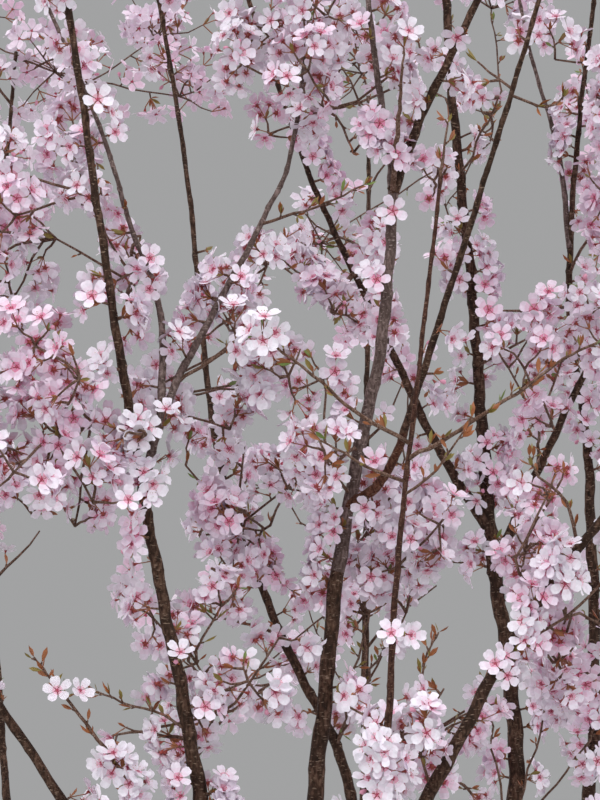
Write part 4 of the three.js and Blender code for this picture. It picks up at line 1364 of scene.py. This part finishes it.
def dress_wood(limbs):
    brown, grey, reddish = (bark_material(f"bark_{name}") for name in ("brown", "grey", "reddish"))
    young = bark_material("bark_young")
    trunk_heap, bough_heap, shoot_heap = Heap(), Heap(), Heap()
    add_trunk_bark(trunk_heap, limbs["trunk"])
    boughs = {name: limb for name, limb in limbs.items() if name not in ("trunk", "front_shoot")}
    for seed, limb in enumerate(boughs.values()):
        add_limb_bark(bough_heap, limb, seed)
    add_limb_bark(shoot_heap, limbs["front_shoot"], SHOOT_SEED)
    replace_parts(make_piece("trunk_bark", trunk_heap, [brown]), "trunk")
    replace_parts(make_piece("bough_bark", bough_heap, [brown, grey, reddish]), *boughs)
    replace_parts(make_piece("front_shoot_bark", shoot_heap, [young]), "front_shoot")


def make_blossom(name, heap, *materials):
    make_piece(name, heap, [soft_material(material) for material in materials])


def make_flowers(dresser, rng):
    filaments, anthers = stamens(rng)
    kinds = product(SPRAY_DRESS, range(FLOWER_SHAPES))
    shapes = {(detail, k): flower_shape(rng, detail == "near") for detail, k in kinds}
    eye_heap, stamen_heap, calyx_heap = Heap(), Heap(), Heap()
    for tone in TONES:
        petal_heaps = {detail: Heap() for detail in SPRAY_DRESS}
        for (detail, k), shape in shapes.items():
            copies = dresser.flowers[tone, detail, k]
            copies.fill(petal_heaps[detail], *shape)
            copies.fill(eye_heap, *SPRAY_DRESS[detail].eye)
            if detail == "near":
                copies.fill(stamen_heap, *filaments, 0)
                copies.fill(stamen_heap, *anthers, 1)
        materials = [soft_material(f"petal_{part}_{tone}") for part in PETAL_PARTS]
        for detail, heap in petal_heaps.items():
            make_piece(f"petals_{tone}_{detail}", heap, materials)
    for detail, dress in SPRAY_DRESS.items():
        cup = calyx(dress.sides, detail == "near")
        for tone, k in product(TONES, range(FLOWER_SHAPES)):
            dresser.flowers[tone, detail, k].fill(calyx_heap, *cup)
    make_blossom("flower_eyes", eye_heap, "flower_eye")
    make_blossom("stamens", stamen_heap, "filament", "anther")
    make_blossom("calyxes", calyx_heap, "calyx")


def make_small_pieces(dresser, masses):
    stalk_heap, bud_heap, leaf_heap = Heap(), Heap(), Heap()
    for detail, dress in SPRAY_DRESS.items():
        dresser.stalks[detail].fill(stalk_heap, *stalk(dress.steps))
        dresser.buds[detail].fill(bud_heap, *bud_shape(dress.sides))
        spur = tube([(0, 0, 0), (0, 0, 1)], [1.0, 0.8], dress.sides)
        dresser.spurs[detail].fill(dresser.twigs[detail], *spur)
    for slot, tone in enumerate(LEAF_TONES):
        dresser.leaves[tone].fill(leaf_heap, *leaf_shape(0.1 + 0.08 * slot), slot)
    make_blossom("flower_stalks", stalk_heap, "flower_stalk")
    make_blossom("buds", bud_heap, "bud")
    make_blossom("young_leaves", leaf_heap, *(f"leaf_{tone}" for tone in LEAF_TONES))
    material = bark_material("twig_bark")
    for detail, heap in dresser.twigs.items():
        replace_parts(make_piece(f"twigs_{detail}", heap, [material]), *masses)


def dress_tree():
    limbs, masses, shown_places = grow_tree()
    dress_wood(limbs)
    fork_places = shown_places_of(limbs["centre_fork"], [FORK_IN_VIEW])
    dresser = Dresser(np.concatenate([shown_places, fork_places]))
    for name, (twigs, sprays) in masses.items():
        dresser.add_mass(twigs, sprays, PINKER_TONES if name in PINKER_MASSES else MASS_TONES)
    for name, limb in limbs.items():
        if name not in ("trunk", "front_shoot", "bare_limb"):
            dresser.add_limb_spurs(limb)
    for limb_name, *plan in SIDE_TWIGS:
        dresser.add_side_twig(limbs[limb_name], *plan)
    for plan in LONE_CLUSTERS:
        dresser.add_cluster(*plan)
    for name, clusters in LIMB_CLUSTERS.items():
        for cluster in clusters:
            dresser.add_limb_cluster(limbs[name], *cluster)
    make_flowers(dresser, np.random.default_rng(FLOWER_SEED))
    make_small_pieces(dresser, masses)


dress_tree()


# Stage

FLOOR_HALF_SIZE = 30.0
BACKDROP = (0.36, 0.362, 0.365, 1)

# Each soft sun: strength, and in degrees its spread, height and heading from the front to the right.
SUNS = {
    "key_light": (0.80, 60, 50, -30),
    "front_light": (1.60, 140, 20, 10),
    "sky_light": (1.0, 170, 90, 0),
    "left_light": (0.9, 120, 20, -100),
    "right_light": (0.9, 120, 20, 100),
    "back_light": (0.8, 120, 30, 180),
}


def make_floor():
    mesh = bpy.data.meshes.new("floor")
    corners = [(x * FLOOR_HALF_SIZE, y * FLOOR_HALF_SIZE, 0) for x, y in ((-1, -1), (1, -1), (1, 1), (-1, 1))]
    mesh.from_pydata(corners, [], [(0, 1, 2, 3)])
    mesh.materials.append(soft_material("floor"))
    put_in_scene("floor", mesh)


def make_light():
    for name, (strength, spread, height, heading) in SUNS.items():
        data = bpy.data.lights.new(name, "SUN")
        data.energy = strength
        data.angle = math.radians(spread)
        put_in_scene(name, data).rotation_euler = (math.radians(90 - height), 0, math.radians(heading))
    world = bpy.data.worlds.new("studio")
    world.use_nodes = True
    world.node_tree.nodes["Background"].inputs["Color"].default_value = BACKDROP
    world.node_tree.nodes["Background"].inputs["Strength"].default_value = 1.0
    bpy.context.scene.world = world
    bpy.context.scene.view_settings.view_transform = "Standard"


make_floor()
make_light()
